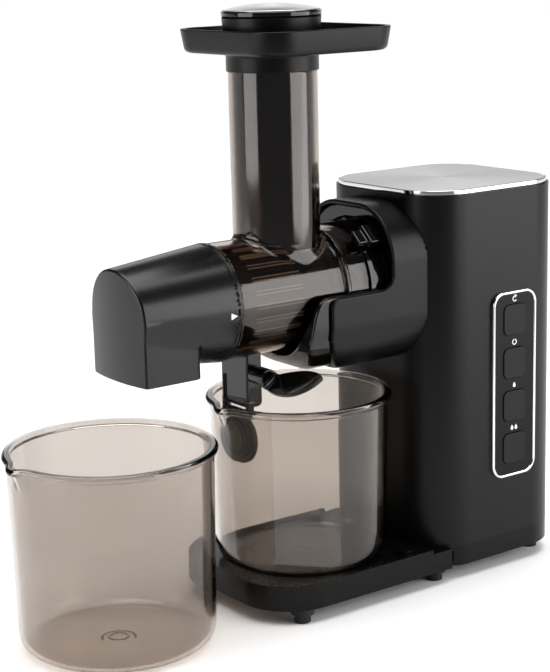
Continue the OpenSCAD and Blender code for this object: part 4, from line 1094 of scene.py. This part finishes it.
# %% Materials of the remaining nodes
INSIDE = {
    "bottom_cover": SATIN, "base_screws": ZINC, "switch_board": BOARD, "control_board": BOARD,
    "cord_gland": RUBBER, "catch_spring": STEEL, "safety_switch": PANEL, "gearbox_case": CASTING,
    "gearbox_cover": CASTING, "gearbox_screws": ZINC, "front_bearing": STEEL, "rear_bearing": STEEL,
    "shaft_seal": SEAL, "output_shaft": STEEL, "output_gear": NYLON, "idler_gear": NYLON,
    "idler_pin": STEEL, "motor_can": ZINC, "motor_front_bell": ZINC, "motor_magnets": FERRITE,
    "motor_bearings": STEEL, "brush_holders": BRASS, "rotor_core": LAMINATION, "rotor_shaft": STEEL,
    "motor_pinion": BRASS, "commutator": COPPER, "cooling_fan": WHITE_NYLON, "drum_seal": SILICONE,
    "strainer_frame": RESIN, "strainer_mesh": SIEVE, "auger": RESIN, "pulp_valve": SILICONE,
    "stopper_pin": STEEL,
}
for node, material in INSIDE.items():
    mesh = frame["nodes"][node].data
    mesh.materials.clear()
    mesh.materials.append(material)
print("nodes with their own mesh:", len(INSIDE))

# %% [markdown]
# ## Floor and light
# A pale floor runs far back, so it fills the picture. Its colour falls to mid grey in front, a painted shade,
# where gloss black faces would otherwise mirror a bright floor. One very soft light overhead whitens the
# rest. Tall soft boxes stand at the sides: they draw the long highlights on the black column, the nose and
# the end cap.

# %% Floor
# the way forward over the floor, and where along it the painted shade begins and ends, in metres
FRONT = (0.781, -0.624, 0)
PALE_TO, GREY_FROM = 0.3, 0.75
FLOOR, floor_tree = start("pale_studio_floor")
paper = add(floor_tree, "BsdfPrincipled", Roughness=0.9)
paper.inputs["Specular IOR Level"].default_value = 0.1
spot = add(floor_tree, "TexCoord")
front = add(floor_tree, "VectorMath", [(0, spot, "Object")], operation="DOT_PRODUCT")
front.inputs[1].default_value = FRONT
shade = add(floor_tree, "MapRange", [("Value", front, "Value")], interpolation_type="SMOOTHSTEP")
shade.inputs["From Min"].default_value = PALE_TO
shade.inputs["From Max"].default_value = GREY_FROM
# painted shade: the floor's colour goes from pale to grey towards the viewer
tone = add(floor_tree, "ValToRGB", [("Fac", shade, "Result")])
tone.color_ramp.elements[0].color = linear("#f4f4f4")
tone.color_ramp.elements[1].color = linear("#7c7c7c")
floor_tree.links.new(tone.outputs["Color"], paper.inputs["Base Color"])
finish(floor_tree, paper)
side = np.linspace(-30000, 30000, 3)
gx, gy = np.meshgrid(side, side, indexing="ij")
ground = sweep("floor", np.stack([gx, gy, np.full_like(gx, -0.3)], -1), ring=False, path=False)
ground.data.materials.append(FLOOR)


# %% Lights
def softbox(name, at, look, size, watts):
    """Rectangular light at a point in metres, facing another point."""
    light = bpy.data.lights.new(name, "AREA")
    light.shape = "RECTANGLE"
    light.size, light.size_y = size
    light.energy = watts
    obj = bpy.data.objects.new(name, light)
    obj.matrix_world = Matrix.Translation(at) @ aimed(np.subtract(look, at), 0)
    bpy.context.scene.collection.objects.link(obj)
    return obj


sun = bpy.data.lights.new("overhead", "SUN")
sun.energy = 3.35
sun.angle = np.radians(60)
overhead = bpy.data.objects.new("overhead", sun)
bpy.context.scene.collection.objects.link(overhead)
softbox("right_box", (0.95, 0.6, 0.44), (0, 0.0, 0.3), (1.1, 0.84), 13)
softbox("left_box", (-0.2, -1.5, 0.5), (0, -0.05, 0.3), (1.0, 0.9), 12)
softbox("back_box", (-1.4, 1.15, 0.85), (0, 0.05, 0.2), (1.6, 0.7), 4.2)
world = bpy.data.worlds.new("studio")
world.use_nodes = True
world.node_tree.nodes["Background"].inputs["Color"].default_value = [0.8, 0.8, 0.8, 1]
world.node_tree.nodes["Background"].inputs["Strength"].default_value = 0.1
bpy.context.scene.world = world
print("lights ready")
